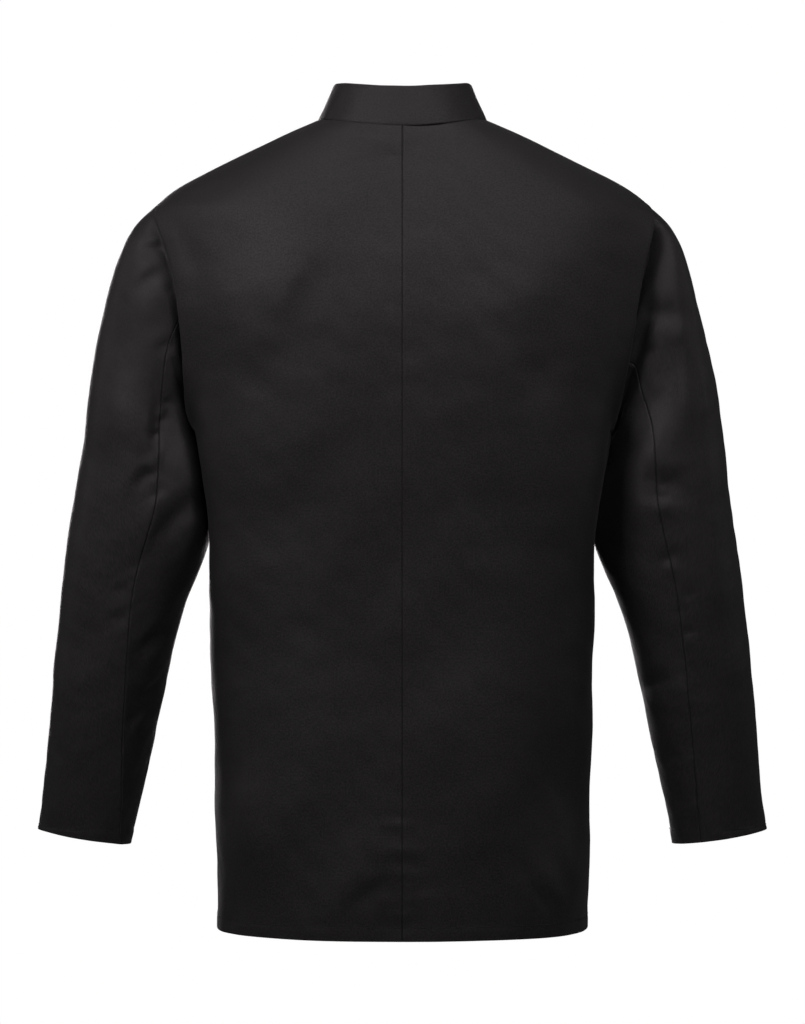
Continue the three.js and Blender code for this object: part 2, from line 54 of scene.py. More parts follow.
camera = bpy.data.objects.new("camera", bpy.data.cameras.new("camera"))
camera.data.sensor_width = SENSOR
camera.data.lens = SENSOR * CAMERA_DISTANCE / VIEW_HEIGHT
camera.data.clip_end = 50
camera.location = (0, CAMERA_DISTANCE, CAMERA_HEIGHT)
camera.rotation_euler = (math.radians(90), 0, math.radians(180))
bpy.context.collection.objects.link(camera)
bpy.context.scene.camera = camera


def node_material(name):
    """A new material with its shader, ready for more nodes."""
    material = bpy.data.materials.new(name)
    material.use_nodes = True
    tree = material.node_tree
    return material, tree, tree.nodes["Principled BSDF"]


def area_lamp(name, place, aim, size, power, spread=180):
    """A soft rectangular lamp that points at the place given by aim. Its beam can be narrowed by a grid."""
    lamp = bpy.data.lights.new(name, "AREA")
    lamp.shape = "RECTANGLE"
    lamp.size, lamp.size_y = size
    lamp.energy = power
    lamp.color = (1, 0.94, 0.95)
    lamp.spread = math.radians(spread)
    holder = bpy.data.objects.new(name, lamp)
    holder.location = place
    toward = Vector(aim) - Vector(place)
    holder.rotation_euler = toward.to_track_quat("-Z", "Y").to_euler()
    bpy.context.collection.objects.link(holder)


def pale_floor():
    """A wide round floor of pale matt board."""
    rim = [math.radians(5 * k) for k in range(72)]
    corners = [(FLOOR_RADIUS * math.cos(a), FLOOR_RADIUS * math.sin(a), FLOOR_Z) for a in rim]
    mesh = bpy.data.meshes.new("floor")
    mesh.from_pydata(corners, [], [list(range(72))])
    floor = bpy.data.objects.new("floor", mesh)
    bpy.context.collection.objects.link(floor)
    material, tree, shader = node_material("pale board")
    shader.inputs["Base Color"].default_value = (0.6, 0.6, 0.6, 1)
    shader.inputs["Roughness"].default_value = 0.9
    floor.data.materials.append(material)
    return floor


pale_floor()
area_lamp("key lamp", (1.5, 1.7, 0.9), (0.1, 0.1, -0.08), (1.0, 0.6), 2.4, 53)
area_lamp("second lamp", (-0.9, 1.9, 0.9), (-0.07, 0.1, -0.08), (1.7, 0.6), 1.9, 53)
area_lamp("top lamp", (0, 0.55, 1.5), (0, 0, -0.1), (1.2, 1.4), 12)
area_lamp("low lamp", (0.4, 2.4, -0.9), (0, 0.1, -0.5), (1.6, 0.8), 0.15)
area_lamp("left lamp", (2.2, -0.25, 0.35), (0.2, 0, -0.2), (0.8, 1.1), 4.4)
area_lamp("right lamp", (-2.2, -0.25, 0.35), (-0.2, 0, -0.2), (0.8, 1.1), 3.6)
area_lamp("front lamp", (0.35, -2.4, -0.1), (0, 0, -0.35), (1.8, 1.2), 15, 90)

world = bpy.data.worlds.new("white surround")
world.use_nodes = True
bpy.context.scene.world = world
sky = world.node_tree
seen = sky.nodes["Background"]
seen.inputs["Color"].default_value = (1, 1, 1, 1)
lit = sky.nodes.new("ShaderNodeBackground")
lit.inputs["Color"].default_value = (1, 1, 1, 1)
lit.inputs["Strength"].default_value = 0.02
ray = sky.nodes.new("ShaderNodeLightPath")
either = sky.nodes.new("ShaderNodeMixShader")
sky.links.new(ray.outputs["Is Camera Ray"], either.inputs["Fac"])
sky.links.new(lit.outputs["Background"], either.inputs[1])
sky.links.new(seen.outputs["Background"], either.inputs[2])
sky.links.new(either.outputs["Shader"], sky.nodes["World Output"].inputs["Surface"])
bpy.context.scene.view_settings.view_transform = "Standard"

# The two back panels, cut from black cotton-blend twill and sewn together down the centre back. They hang
# from the shoulders as a soft form of level rings, and their allowances are pressed towards them round the
# armholes.
HEM_Z = -765
SHOULDER_TIP_Z = -78
UNDERARM_Y, UNDERARM_Z = -8, -295
NECK_HALF_WIDTH = 80
NECK_POINT_Z = -1
BACK_NECK_Z, FRONT_NECK_Z = -12, -75
FRONT_NECK_SCOOP = 0.55
ARMHOLE_REACH = {
    ("back", "left"): 58,
    ("back", "right"): 42,
    ("front", "left"): -60,
    ("front", "right"): -60,
}
SIDE_SEAM_LIFT = 12
CLOTH = 0.9
HEM_DEPTH = 12.5
HEM_THICKNESS = 2.0

# Level rings: height, half width, reach behind and before the middle, how far back the widest point lies,
# and the exponent that makes the ring boxier than an ellipse.
BODY_RINGS = [
    (HEM_Z, 176, 129, 134, 0, 2.2),
    (-700, 177.5, 126, 135, 0, 2.35),
    (-600, 179, 120, 136, 4, 2.4),
    (-500, 180.5, 115, 137, 12, 2.35),
    (-401, 182, 116, 138, 26, 2.3),
    (-330, 189.5, 120, 137, 32, 2.3),
    (-266, 201, 123, 133, 22, 2.3),
    (-200, 218, 122, 124, 9, 2.3),
    (-140, 231, 115, 109, 3, 2.3),
    (-90, 240, 103, 90, 0, 2.3),
    (-70, 222, 97, 81, 0, 2.3),
    (-39, 163, 87, 61, 0, 2.3),
    (-11, 104, 75, 39, 0, 2.3),
    (NECK_POINT_Z, NECK_HALF_WIDTH, 68, 30, 0, 2.3),
]


def curve_through(stations, values, soften=0.0):
    """A smooth curve through a table's column that never overshoots, rounded over the distance soften."""
    stations, values = np.asarray(stations, float), np.asarray(values, float)
    step = np.diff(values) / np.diff(stations)
    before, after = step[:-1], step[1:]
    inner = np.where(before * after > 0, 2 * before * after / (before + after + 1e-12), 0)
    slope = np.concatenate([step[:1], inner, step[-1:]])
    fine = np.linspace(stations[0], stations[-1], 1501)
    i = np.clip(np.searchsorted(stations, fine, side="right") - 1, 0, len(stations) - 2)
    gap = stations[i + 1] - stations[i]
    s = (fine - stations[i]) / gap
    bend = (values[i + 1] - values[i]) * s * s * (3 - 2 * s)
    curve = values[i] + bend + gap * s * (1 - s) * (slope[i] * (1 - s) - slope[i + 1] * s)
    if soften:
        spread = soften / (fine[1] - fine[0])
        reach = int(3 * spread)
        weight = np.exp(-0.5 * (np.arange(-reach, reach + 1) / spread) ** 2)
        low = 2 * curve[0] - curve[reach:0:-1]
        high = 2 * curve[-1] - curve[-2:-reach - 2:-1]
        curve = np.convolve(np.concatenate([low, curve, high]), weight / weight.sum(), "valid")
    return lambda at: np.interp(at, fine, curve)


ring_z = [row[0] for row in BODY_RINGS]
ring_half, ring_back, ring_front, ring_widest, ring_square = (
    curve_through(ring_z, [row[k] for row in BODY_RINGS], soften)
    for k, soften in enumerate((7, 7, 7, 14, 14), 1)
)


def ring_at(z, behind):
    """Half width, depth, widest place and exponent of the body's ring at z, behind or before its middle."""
    widest = ring_widest(z)
    depth = np.where(behind, ring_back(z) - widest, ring_front(z) + widest)
    return ring_half(z), depth, widest, ring_square(z)


def body_point(angle, z, side):
    """A point of the body's form. angle is 0 at the centre back and grows round the left or right side."""
    across, along = np.sin(angle), np.cos(angle)
    half, depth, widest, square = ring_at(z, along > 0)
    reach = (np.abs(across / half) ** square + np.abs(along / depth) ** square) ** (-1 / square)
    return np.stack([side * reach * across, widest + reach * along, z + 0 * across], -1)


def angle_at_y(y, z):
    """The angle at which the ring at z passes through depth y."""
    half, depth, widest, square = ring_at(z, y > ring_widest(z))
    share = np.clip(np.abs((y - widest) / depth), 0, 1)
    return np.arctan2(half * (1 - share ** square) ** (1 / square), y - widest)


def angle_at_x(x, z, face):
    """The angle at which the ring at z passes through x, on its back or its front."""
    half, depth, widest, square = ring_at(z, face == "back")
    share = np.clip(np.abs(x / half), 0, 1)
    forward = depth * (1 - share ** square) ** (1 / square)
    return np.arctan2(x, forward if face == "back" else -forward) % (2 * math.pi)


def armhole_at(turn, face, side_name):
    """Angle and height of the armhole seam, from turn 0 at the shoulder tip to pi at the underarm."""
    down = (1 - np.cos(turn)) / 2
    z = SHOULDER_TIP_Z + (UNDERARM_Z - SHOULDER_TIP_Z) * down
    return angle_at_y(UNDERARM_Y * down + ARMHOLE_REACH[face, side_name] * np.sin(turn), z), z


def neckline_at(turn, face):
    """Angle and height of the neck seam, from turn 0 at the centre to pi / 2 at the shoulder seam."""
    across = np.sin(turn)
    if face == "back":
        z = BACK_NECK_Z + (NECK_POINT_Z - BACK_NECK_Z) * across ** 2
    else:
        rise = 1 - (1 - across ** 2) ** FRONT_NECK_SCOOP
        z = FRONT_NECK_Z + (NECK_POINT_Z - FRONT_NECK_Z) * rise
    return angle_at_x(NECK_HALF_WIDTH * across, z, face), z


# Steps from a seam or an edge inwards, close together where the cloth rolls, and the step everywhere else.
EDGE_STEPS = [0, 0.3, 0.7, 1.2, 1.9, 2.9, 4.3, 6.2, 8.4]


def spaced(length, step, fine_first=True, fine_last=True):
    """Shares of a length, with EDGE_STEPS at the ends that ask for them."""
    first = EDGE_STEPS if fine_first else [0]
    last = EDGE_STEPS if fine_last else [0]
    count = max(2, round((length - first[-1] - last[-1]) / step))
    middle = np.linspace(first[-1], length - last[-1], count + 1)
    return np.concatenate([first[:-1], middle, length - np.array(last[:-1])[::-1]]) / length


def side_seam_angle(z):
    """The side seam's angle, straight down from the underarm, a little before the form's widest line."""
    half, depth, widest, square = ring_at(np.float64(UNDERARM_Z), False)
    cosine = ((widest - UNDERARM_Y) / depth) ** (square / 2)
    half, depth, widest, square = ring_at(z, False)
    return angle_at_y(widest - depth * cosine ** (2 / square), z)


def panel_grid(face, side_name, centre, width, step):
    """Angles and heights of a body panel's grid, with rows from hem to neck and columns from centre to side.

    centre gives the centre edge's angle at a height, and its turn at the neckline."""
    centre_angle, centre_turn = centre
    columns = spaced(width, step)
    neck_angle, neck_z = neckline_at(centre_turn + (math.pi / 2 - centre_turn) * columns, face)
    side_z = HEM_Z + (UNDERARM_Z - HEM_Z) * spaced(UNDERARM_Z - HEM_Z, step, fine_last=False)[:-1]
    turn = np.linspace(math.pi, 0, round(250 / step), endpoint=False)
    armhole_angle, armhole_z = armhole_at(turn, face, side_name)
    shoulder = spaced(176, step, fine_first=False)
    shoulder_z = SHOULDER_TIP_Z + (NECK_POINT_Z - SHOULDER_TIP_Z) * shoulder
    edge_z = np.concatenate([side_z, armhole_z, shoulder_z])
    shoulder_angle = np.full(len(shoulder), math.pi / 2)
    edge_angle = np.concatenate([side_seam_angle(side_z), armhole_angle, shoulder_angle])
    # The rows lie level up to the shoulder tip, so that none crosses another where the armhole ends.
    beside_armhole = np.linspace(UNDERARM_Z, SHOULDER_TIP_Z, len(turn), endpoint=False)
    beside_shoulder = SHOULDER_TIP_Z + (neck_z[0] - SHOULDER_TIP_Z) * shoulder
    centre_z = np.concatenate([side_z, beside_armhole, beside_shoulder])
    u, v = columns[None, :], np.linspace(0, 1, len(edge_z))[:, None] ** 4
    centre_edge = centre_angle(centre_z)
    angle = centre_edge[:, None] * (1 - u) + edge_angle[:, None] * u
    height = centre_z[:, None] * (1 - u) + edge_z[:, None] * u
    angle = angle + v * (neck_angle - angle[-1])[None, :]
    height = height + v * (neck_z - height[-1])[None, :]
    lift = SIDE_SEAM_LIFT * np.exp(-(((1 - columns) * width) / 22) ** 1.5)[None, :]
    return angle, height + lift * np.clip(1 - (height - HEM_Z) / 60, 0, 1)


def outward_normals(surface, a, b, step_a, step_b, inside):
    """Normals of a surface at (a, b), turned away from the points inside."""
    along_a = surface(a + step_a, b) - surface(a - step_a, b)
    along_b = surface(a, b + step_b) - surface(a, b - step_b)
    normal = np.cross(along_a, along_b)
    normal /= np.linalg.norm(normal, axis=-1, keepdims=True) + 1e-12
    away = np.sum(normal * (surface(a, b) - inside), -1, keepdims=True)
    return np.where(away < 0, -normal, normal)


def run_lengths(points, axis):
    """Distance along the rows (axis 1) or up the columns (axis 0) of a grid, from its first point."""
    steps = np.linalg.norm(np.diff(points, axis=axis), axis=-1)
    pad = [(0, 0), (0, 0)]
    pad[axis] = (1, 0)
    return np.pad(np.cumsum(steps, axis=axis), pad)


def smooth_step(share):
    share = np.clip(share, 0, 1)
    return share * share * (3 - 2 * share)


def fold_depth(x, z, folds):
    """The height of the folds at (x, z), in millimetres.

    Each fold runs from (x1, z1) to (x2, z2) and bows aside by bow. It is deepest at the share peak of its
    run and opens out towards its ends. Its width is narrower on one side by the share lean. A trough has a
    depth below 0. The cloth beside a fold gives way a little in the other direction."""
    total = np.zeros_like(x)
    for x1, z1, x2, z2, bow, width, depth, lean, peak in folds:
        dx, dz = x2 - x1, z2 - z1
        length = math.hypot(dx, dz)
        share = ((x - x1) * dx + (z - z1) * dz) / length ** 2
        inside = np.clip(share, 0, 1)
        aside = ((x - x1) * dz - (z - z1) * dx) / length - 4 * bow * inside * (1 - inside)
        before, after = (peak - inside) / max(peak, 0.05), (inside - peak) / max(1 - peak, 0.05)
        far = np.where(inside < peak, before, after)
        wide = width * (1 + 0.5 * far) * np.where(aside > 0, 1 + lean, 1 - lean)
        beyond = np.abs(share - inside) * length / width
        strength = (1 - 0.85 * smooth_step(far)) * np.exp(-beyond ** 2)
        near = aside / wide
        total += depth * strength * (np.exp(-near ** 2) - 0.28 * np.exp(-(near / 2.3) ** 2))
    return total


def ripples(seed, waves, shortest, longest):
    """A gentle unevenness over two coordinates in millimetres, about 1 high, the same on every run."""
    chance = np.random.default_rng(seed)
    length = chance.uniform(shortest, longest, waves)
    heading = chance.uniform(0, math.pi, waves)
    start = chance.uniform(0, 2 * math.pi, waves)

    def field(a, b):
        total = np.zeros(np.broadcast(a, b).shape)
        for k in range(waves):
            along = a * math.cos(heading[k]) + b * math.sin(heading[k])
            total += np.sin(2 * math.pi * along / length[k] + start[k])
        return total / math.sqrt(waves)

    return field


def seam_roll(distance, dip, reach):
    """How far the cloth rolls in towards a seam at this distance from it."""
    return -dip * np.exp(-(distance / reach) ** 2)


def hem_swell(distance, depth, seed, along):
    """The turned-up hem stands proud, with a dimple along its stitching and small waves in between."""
    proud = 0.45 * smooth_step((depth + 3 - distance) / 5)
    stitch = -0.4 * np.exp(-((distance - depth) / 1.6) ** 2)
    waves = 0.35 * np.sin(along / 7.3 + seed) * np.sin(along / 17.9 + 2 * seed)
    return proud + stitch + waves * np.exp(-((distance - 0.7 * depth) / (0.8 * depth)) ** 2)


def cloth_piece(name, points, normals, height, thickness, material):
    """A thin shell of cloth: the grid moved out by height, its inner side below by thickness, its rims."""
    outer = points + normals * height[..., None]
    inner = outer - normals * thickness[..., None]
    rows, columns = height.shape
    corner = np.arange(rows * columns).reshape(rows, columns)
    a, b, c, d = corner[:-1, :-1], corner[:-1, 1:], corner[1:, 1:], corner[1:, :-1]
    face = np.stack([a, b, c, d], -1).reshape(-1, 4)
    back = rows * columns
    ring = np.concatenate([corner[0, :-1], corner[:-1, -1], corner[-1, :0:-1], corner[:0:-1, 0]])
    following = np.roll(ring, -1)
    rim = np.stack([ring, ring + back, following + back, following], -1)
    faces = np.concatenate([face, face[:, ::-1] + back, rim])
    row, column = rows // 2, columns // 2
    across = outer[row, column + 1] - outer[row, column]
    up = outer[row + 1, column] - outer[row, column]
    mirrored = np.dot(np.cross(across, up), normals[row, column]) < 0
    if mirrored:
        faces = faces[:, ::-1]
    mesh = bpy.data.meshes.new(name)
    vertices = np.concatenate([outer.reshape(-1, 3), inner.reshape(-1, 3)]) * MM
    mesh.from_pydata(vertices.tolist(), [], faces.tolist())
    # The weave slants the same way on every piece, as all are cut from one cloth.
    weft = run_lengths(points, 1) * (-1 if mirrored else 1)
    grain = np.stack([weft, run_lengths(points, 0)], -1).reshape(-1, 2) * MM
    loops = np.empty(len(mesh.loops), np.int32)
    mesh.loops.foreach_get("vertex_index", loops)
    layer = mesh.uv_layers.new(name="grain")
    layer.data.foreach_set("uv", np.concatenate([grain, grain])[loops].astype(np.float32).ravel())
    mesh.polygons.foreach_set("use_smooth", np.ones(len(mesh.polygons), bool))
    mesh.update()
    piece = bpy.data.objects.new(name, mesh)
    bpy.context.collection.objects.link(piece)
    mesh.materials.append(material)
    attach(piece, "root")
    return piece, outer


def black_twill():
    """Black cotton-blend twill: fine slanting wales, a little lint, faint wash marks and a low sheen."""
    material, tree, shader = node_material("black twill")
    nodes, links = tree.nodes, tree.links
    grain = nodes.new("ShaderNodeUVMap")
    grain.uv_map = "grain"

    def math_node(operation, *values):
        node = nodes.new("ShaderNodeMath")
        node.operation = operation
        for socket, value in zip(node.inputs, values):
            if isinstance(value, (int, float)):
                socket.default_value = value
            else:
                links.new(value, socket)
        return node.outputs[0]

    def noise(scale, detail, roughness=0.55):
        node = nodes.new("ShaderNodeTexNoise")
        node.inputs["Scale"].default_value = scale
        node.inputs["Detail"].default_value = detail
        node.inputs["Roughness"].default_value = roughness
        links.new(grain.outputs["UV"], node.inputs["Vector"])
        return node.outputs["Fac"]

    wale_pitch = 0.0009
    turns = 2 * math.pi / wale_pitch
    split = nodes.new("ShaderNodeSeparateXYZ")
    links.new(grain.outputs["UV"], split.inputs["Vector"])
    rising = math_node("MULTIPLY", split.outputs["Y"], 0.8 * turns)
    slant = math_node("MULTIPLY_ADD", split.outputs["X"], turns, rising)
    wander = math_node("MULTIPLY_ADD", noise(260, 2), 3.0, slant)
    wale = math_node("SINE", wander)
    weft = math_node("SINE", math_node("MULTIPLY", split.outputs["Y"], 2.2 * turns))
    lint = noise(430, 2)
    fleck = noise(600, 1)
    wash = noise(16, 3)
    slub = noise(140, 3)
    speckle = math_node("MULTIPLY_ADD", fleck, 1.6, math_node("MULTIPLY", wash, 0.2))
    tone = math_node("MULTIPLY_ADD", wale, 0.10, speckle)
    tone = math_node("MULTIPLY_ADD", slub, 0.35, tone)
    ramp = nodes.new("ShaderNodeValToRGB")
    ramp.color_ramp.elements[0].position = 0.40
    ramp.color_ramp.elements[0].color = (0.0062, 0.0058, 0.0060, 1)
    ramp.color_ramp.elements[1].position = 0.68
    ramp.color_ramp.elements[1].color = (0.0185, 0.0174, 0.0177, 1)
    links.new(math_node("MULTIPLY", tone, 0.5), ramp.inputs["Fac"])
    links.new(ramp.outputs["Color"], shader.inputs["Base Color"])
    cross_rib = math_node("MULTIPLY_ADD", weft, 0.06, math_node("MULTIPLY", lint, 2.6))
    height = math_node("MULTIPLY_ADD", wale, 0.12, cross_rib)
    bump = nodes.new("ShaderNodeBump")
    bump.inputs["Strength"].default_value = 0.16
    bump.inputs["Distance"].default_value = 0.0003
    links.new(height, bump.inputs["Height"])
    links.new(bump.outputs["Normal"], shader.inputs["Normal"])
    shine = math_node("MULTIPLY_ADD", wash, 0.12, math_node("MULTIPLY_ADD", lint, 0.25, 0.40))
    links.new(shine, shader.inputs["Roughness"])
    shader.inputs["Specular IOR Level"].default_value = 0.3
    shader.inputs["Sheen Weight"].default_value = 0.04
    shader.inputs["Sheen Roughness"].default_value = 0.45
    shader.inputs["Sheen Tint"].default_value = (0.9, 0.9, 0.95, 1)
    return material


twill = black_twill()

# Folds of the back: x1, z1, x2, z2, bow, width, depth, lean, peak. The sharpest lie under the collar,
# beside the centre seam near the hem, and towards the two lower corners.
BACK_FOLDS = [
    (64, -23, 6, -24, 3.0, 3.6, -2.0, 0.35, 0.45),
    (-150, -60, -220, -90, 3.0, 9.0, -2.0, 0.2, 0.5),
    (196, -80, 148, -66, 3.0, 9.0, -1.8, 0.2, 0.5),
    (20, -38, 3, -42, -1.0, 4.0, -0.9, 0.0, 0.6),
    (105, -48, -95, -48, 3.0, 13, -1.5, 0.0, 0.5),
    (-1, -38, -36, -26, 2.0, 6.0, -1.4, 0.3, 0.3),
    (-40, -38, -80, -22, 2.0, 8.0, -0.9, 0.0, 0.4),
    (74, -92, 129, -202, 4.0, 32, 5.4, -0.5, 0.6),
    (215, -165, 124, -188, 3.0, 30, 2.0, 0.0, 0.6),
    (-132, -118, -112, -206, -4.0, 26, 2.8, 0.1, 0.5),
    (34, -121, 3, -126, 1.0, 9.0, -1.2, 0.0, 0.7),
    (-2, -119, -46, -100, 2.0, 10, -1.4, 0.2, 0.3),
    (146, -212, 138, -300, 0.0, 28, -2.4, 0.0, 0.4),
    (86, -205, 82, -400, 4.0, 26, 2.0, 0.0, 0.4),
    (-92, -204, -88, -278, 0.0, 22, 1.8, 0.0, 0.5),
    (-125, -214, -132, -292, 0.0, 22, -2.4, 0.0, 0.4),
    (-124, -384, -141, -442, 0.0, 24, -2.2, 0.0, 0.5),
    (-60, -330, -50, -450, 0.0, 30, 1.6, 0.0, 0.5),
    (-140, -560, -146, -668, 0.0, 20, -3.4, 0.0, 0.5),
    (100, -480, 60, -560, 6.0, 24, 1.6, 0.0, 0.5),
    (30, -648, 2, -653, 1.0, 5.5, -0.5, 0.2, 0.9),
    (32, -665, 2, -671, 1.0, 6.0, -0.6, 0.2, 0.9),
    (30, -694, 4, -690, -1.5, 7.0, -0.9, 0.2, 0.8),
    (4, -705, 58, -751, -6.0, 9.0, -2.6, 0.35, 0.35),
    (20, -697, 72, -736, -6.0, 10, 1.0, 0.0, 0.4),
    (143, -520, 146, -745, 0.0, 18, 5.0, 0.0, 0.6),
    (153, -744, 168, -760, 0.0, 7.0, -1.5, 0.0, 0.6),
    (-3, -697, -35, -698, 1.5, 7.5, -0.9, 0.2, 0.2),
    (-6, -716, -64, -718, 3.0, 8.5, -1.0, 0.2, 0.3),
    (-138, -610, -162, -750, 3.0, 10, 2.6, 0.3, 0.7),
    (-106, -672, -148, -750, 3.0, 9.0, 2.4, 0.2, 0.7),
    (-113, -704, -138, -747, 2.0, 6.5, -2.6, 0.0, 0.6),
    (-150, -560, -166, -700, 0.0, 12, -2.0, 0.0, 0.6),
    (60, -300, 150, -420, 8.0, 26, -1.5, 0.0, 0.5),
    (-40, -330, -150, -400, -8.0, 28, -1.4, 0.0, 0.5),
]
# How far the back stands out beside its armholes, where it stays flat before it turns in.
BACK_SQUARING = 5.0
body_drift = ripples(11, 18, 90, 260)
body_crumple = ripples(23, 26, 24, 60)
fine_crumple = ripples(29, 30, 9, 22)
seam_pucker = ripples(31, 14, 9, 24)


def sew_body(points, normals, face):
    """Drift, crumple and folds of the body's cloth, shared by the panels so that they agree at seams."""
    x, y, z = points[..., 0], points[..., 1], points[..., 2]
    facing = np.clip(4 * (normals[..., 1] if face == "back" else -normals[..., 1]), 0, 1)
    folds = BACK_FOLDS if face == "back" else FRONT_FOLDS
    free = 0.35 + 0.65 * smooth_step((-z - 250) / 400)

    def drift(across):
        crumple = 0.2 * body_crumple(across, z)
        return 1.9 * free * body_drift(across, z) + crumple + 0.03 * fine_crumple(across, z)

    # Near the centre front the two laps share one unevenness, so that they lie flat on each other.
    lap = (1 - smooth_step((np.abs(x) - 64) / 60)) * (y < 0)
    height = drift(np.arctan2(x, y) * 160) * (1 - lap) + drift(x + 500) * lap
    return height + facing * fold_depth(x, z, folds)


def back_panel(side_name, side):
    centre = (lambda z: np.zeros_like(z), 0)
    angle, z = panel_grid("back", side_name, centre, 285, 2.9)
    surface = lambda a, b: body_point(a, b, side)
    points = surface(angle, z)
    inside = np.stack([0 * z, 0 * z, z - 60], -1)
    normals = outward_normals(surface, angle, z, 0.01, 1.0, inside)
    height = sew_body(points, normals, "back")
    from_centre = run_lengths(points, 1)
    from_edge = from_centre[:, -1:] - from_centre
    from_hem = run_lengths(points, 0)
    from_neck = from_hem[-1:] - from_hem
    height += seam_roll(from_centre, 0.6, 0.5) + seam_roll(from_neck, 0.7, 1.1)
    height += 0.12 * np.exp(-((from_centre - 3) / 2.5) ** 2)
    gathered = 0.10 + 0.28 * smooth_step((-z - 560) / 120)
    height += gathered * np.exp(-from_centre / 12) * seam_pucker(from_centre * 0.35, z)
    at_armhole = smooth_step((z - UNDERARM_Z) / 20) * smooth_step((SHOULDER_TIP_Z + 4 - z) / 14)
    pressed = 1.0 * np.exp(-((from_edge - 4) / 4.0) ** 2)
    height += at_armhole * (pressed - 2.4 * np.exp(-(from_edge / 1.0) ** 2))
    height += (1 - at_armhole) * seam_roll(from_edge, 1.1, 0.8)
    squared = smooth_step((z + 425) / 110) * smooth_step((SHOULDER_TIP_Z - z) / 40)
    height += BACK_SQUARING * squared * np.exp(-((from_edge - 7) / np.where(from_edge > 7, 17, 4.5)) ** 2)
    height += hem_swell(from_hem, HEM_DEPTH, side, from_centre)
    thickness = CLOTH + (HEM_THICKNESS - CLOTH) * smooth_step((HEM_DEPTH - from_hem) / 2)
    piece, outer = cloth_piece(f"back_{side_name}_panel", points, normals, height, thickness, twill)
    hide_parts(f"lower_back_{side_name}", f"upper_back_{side_name}")
    return piece, outer, normals, from_hem


back_left, back_left_points, back_left_normals, back_left_hem = back_panel("left", 1)
back_right, back_right_points, back_right_normals, back_right_hem = back_panel("right", -1)

# The two fronts, cut from the same twill. The left one laps over the right one past the middle, where the
# right one steps in to lie flat beneath it. Their free front edges are turned in and stitched.
LAP_TURN = math.radians(50)
NECK_LAP = NECK_HALF_WIDTH * math.sin(LAP_TURN)
HEM_LAP = 54
LAP_STEP = 2.5
LAP_STEP_START, LAP_STEP_WIDTH = -96, 28
FRONT_EDGE_DEPTH = 6.5

# Folds of the front: short pulls beside the buttons, falls from the chest, and hangs near the side seams.
FRONT_FOLDS = [
    (150, -95, 96, -190, 7.0, 30, 2.4, 0.0, 0.4),
    (-146, -100, -92, -200, -6.0, 32, 2.6, 0.0, 0.4),
    (176, -300, 92, -352, 6.0, 16, -2.2, 0.2, 0.3),
    (-178, -292, -98, -338, -6.0, 17, -2.4, 0.2, 0.3),
    (60, -205, 124, -196, 3.0, 9.0, -1.5, 0.2, 0.1),
    (-60, -212, -110, -224, -3.0, 8.0, -1.4, 0.2, 0.1),
    (58, -298, 108, -312, 3.0, 9.0, -1.3, 0.0, 0.1),
    (-58, -296, -122, -290, 2.0, 9.0, -1.7, 0.2, 0.1),
    (56, -386, 118, -372, -3.0, 10, -1.4, 0.2, 0.15),
    (-56, -384, -104, -398, -2.0, 8.0, -1.2, 0.2, 0.1),
    (40, -480, 66, -700, 6.0, 22, -2.4, 0.0, 0.6),
    (-64, -490, -96, -735, -6.0, 20, -2.8, 0.2, 0.6),
    (112, -520, 122, -745, 4.0, 17, 2.4, 0.2, 0.7),
    (150, -480, 146, -735, 0.0, 16, -3.4, 0.2, 0.6),
    (-148, -500, -150, -740, 3.0, 16, -3.4, 0.2, 0.6),
    (-124, -560, -128, -742, 2.0, 12, 2.0, 0.0, 0.7),
    (20, -120, 24, -180, 2.0, 9.0, -1.0, 0.0, 0.5),
    (14, -262, -22, -282, 2.0, 9.0, -1.1, 0.0, 0.5),
    (-18, -640, 22, -668, 3.0, 11, -1.3, 0.0, 0.5),
]


def under_lap(points):
    """How far the right front steps in where it lies under the left one."""
    return LAP_STEP * smooth_step((points[..., 0] - LAP_STEP_START) / LAP_STEP_WIDTH)


def front_panel(side_name, side):
    neck_z = neckline_at(-LAP_TURN, "front")[1]

    def lap_edge(z):
        lap = HEM_LAP + (NECK_LAP - HEM_LAP) * (z - HEM_Z) / (neck_z - HEM_Z)
        return 2 * math.pi - angle_at_x(lap, z, "front")

    angle, z = panel_grid("front", side_name, (lap_edge, -LAP_TURN), 330, 3.3)
    surface = lambda a, b: body_point(a, b, side)
    points = surface(angle, z)
    inside = np.stack([0 * z, 0 * z, z - 60], -1)
    normals = outward_normals(surface, angle, z, 0.01, 1.0, inside)
    height = sew_body(points, normals, "front")
    from_lap = run_lengths(points, 1)
    from_side = from_lap[:, -1:] - from_lap
    from_hem = run_lengths(points, 0)
    from_neck = from_hem[-1:] - from_hem
    height += seam_roll(from_neck, 1.6, 1.6)
    at_armhole = smooth_step((z - UNDERARM_Z) / 20) * smooth_step((SHOULDER_TIP_Z + 4 - z) / 14)
    pressed = 1.0 * np.exp(-((from_side - 4) / 4.0) ** 2)
    height += at_armhole * (pressed - 2.4 * np.exp(-(from_side / 1.0) ** 2))
    height += (1 - at_armhole) * seam_roll(from_side, 1.1, 0.8)
    height += 0.4 * np.exp(-from_side / 12) * seam_pucker(from_side * 0.35, z + 40)
    height += hem_swell(from_hem, HEM_DEPTH, 3 + side, from_lap)
    height += 0.8 * hem_swell(from_lap, FRONT_EDGE_DEPTH, 1.7, from_hem)
    if side_name == "right":
        height -= under_lap(points)
    edge = np.minimum(from_hem - HEM_DEPTH, from_lap - FRONT_EDGE_DEPTH)
    thickness = CLOTH + (HEM_THICKNESS - 0.2 - CLOTH) * smooth_step(-edge / 2)
    piece, outer = cloth_piece(f"front_{side_name}_panel", points, normals, height, thickness, twill)
    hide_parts(f"lower_front_{side_name}", f"upper_front_{side_name}")
    return piece, outer, normals, from_hem, from_lap


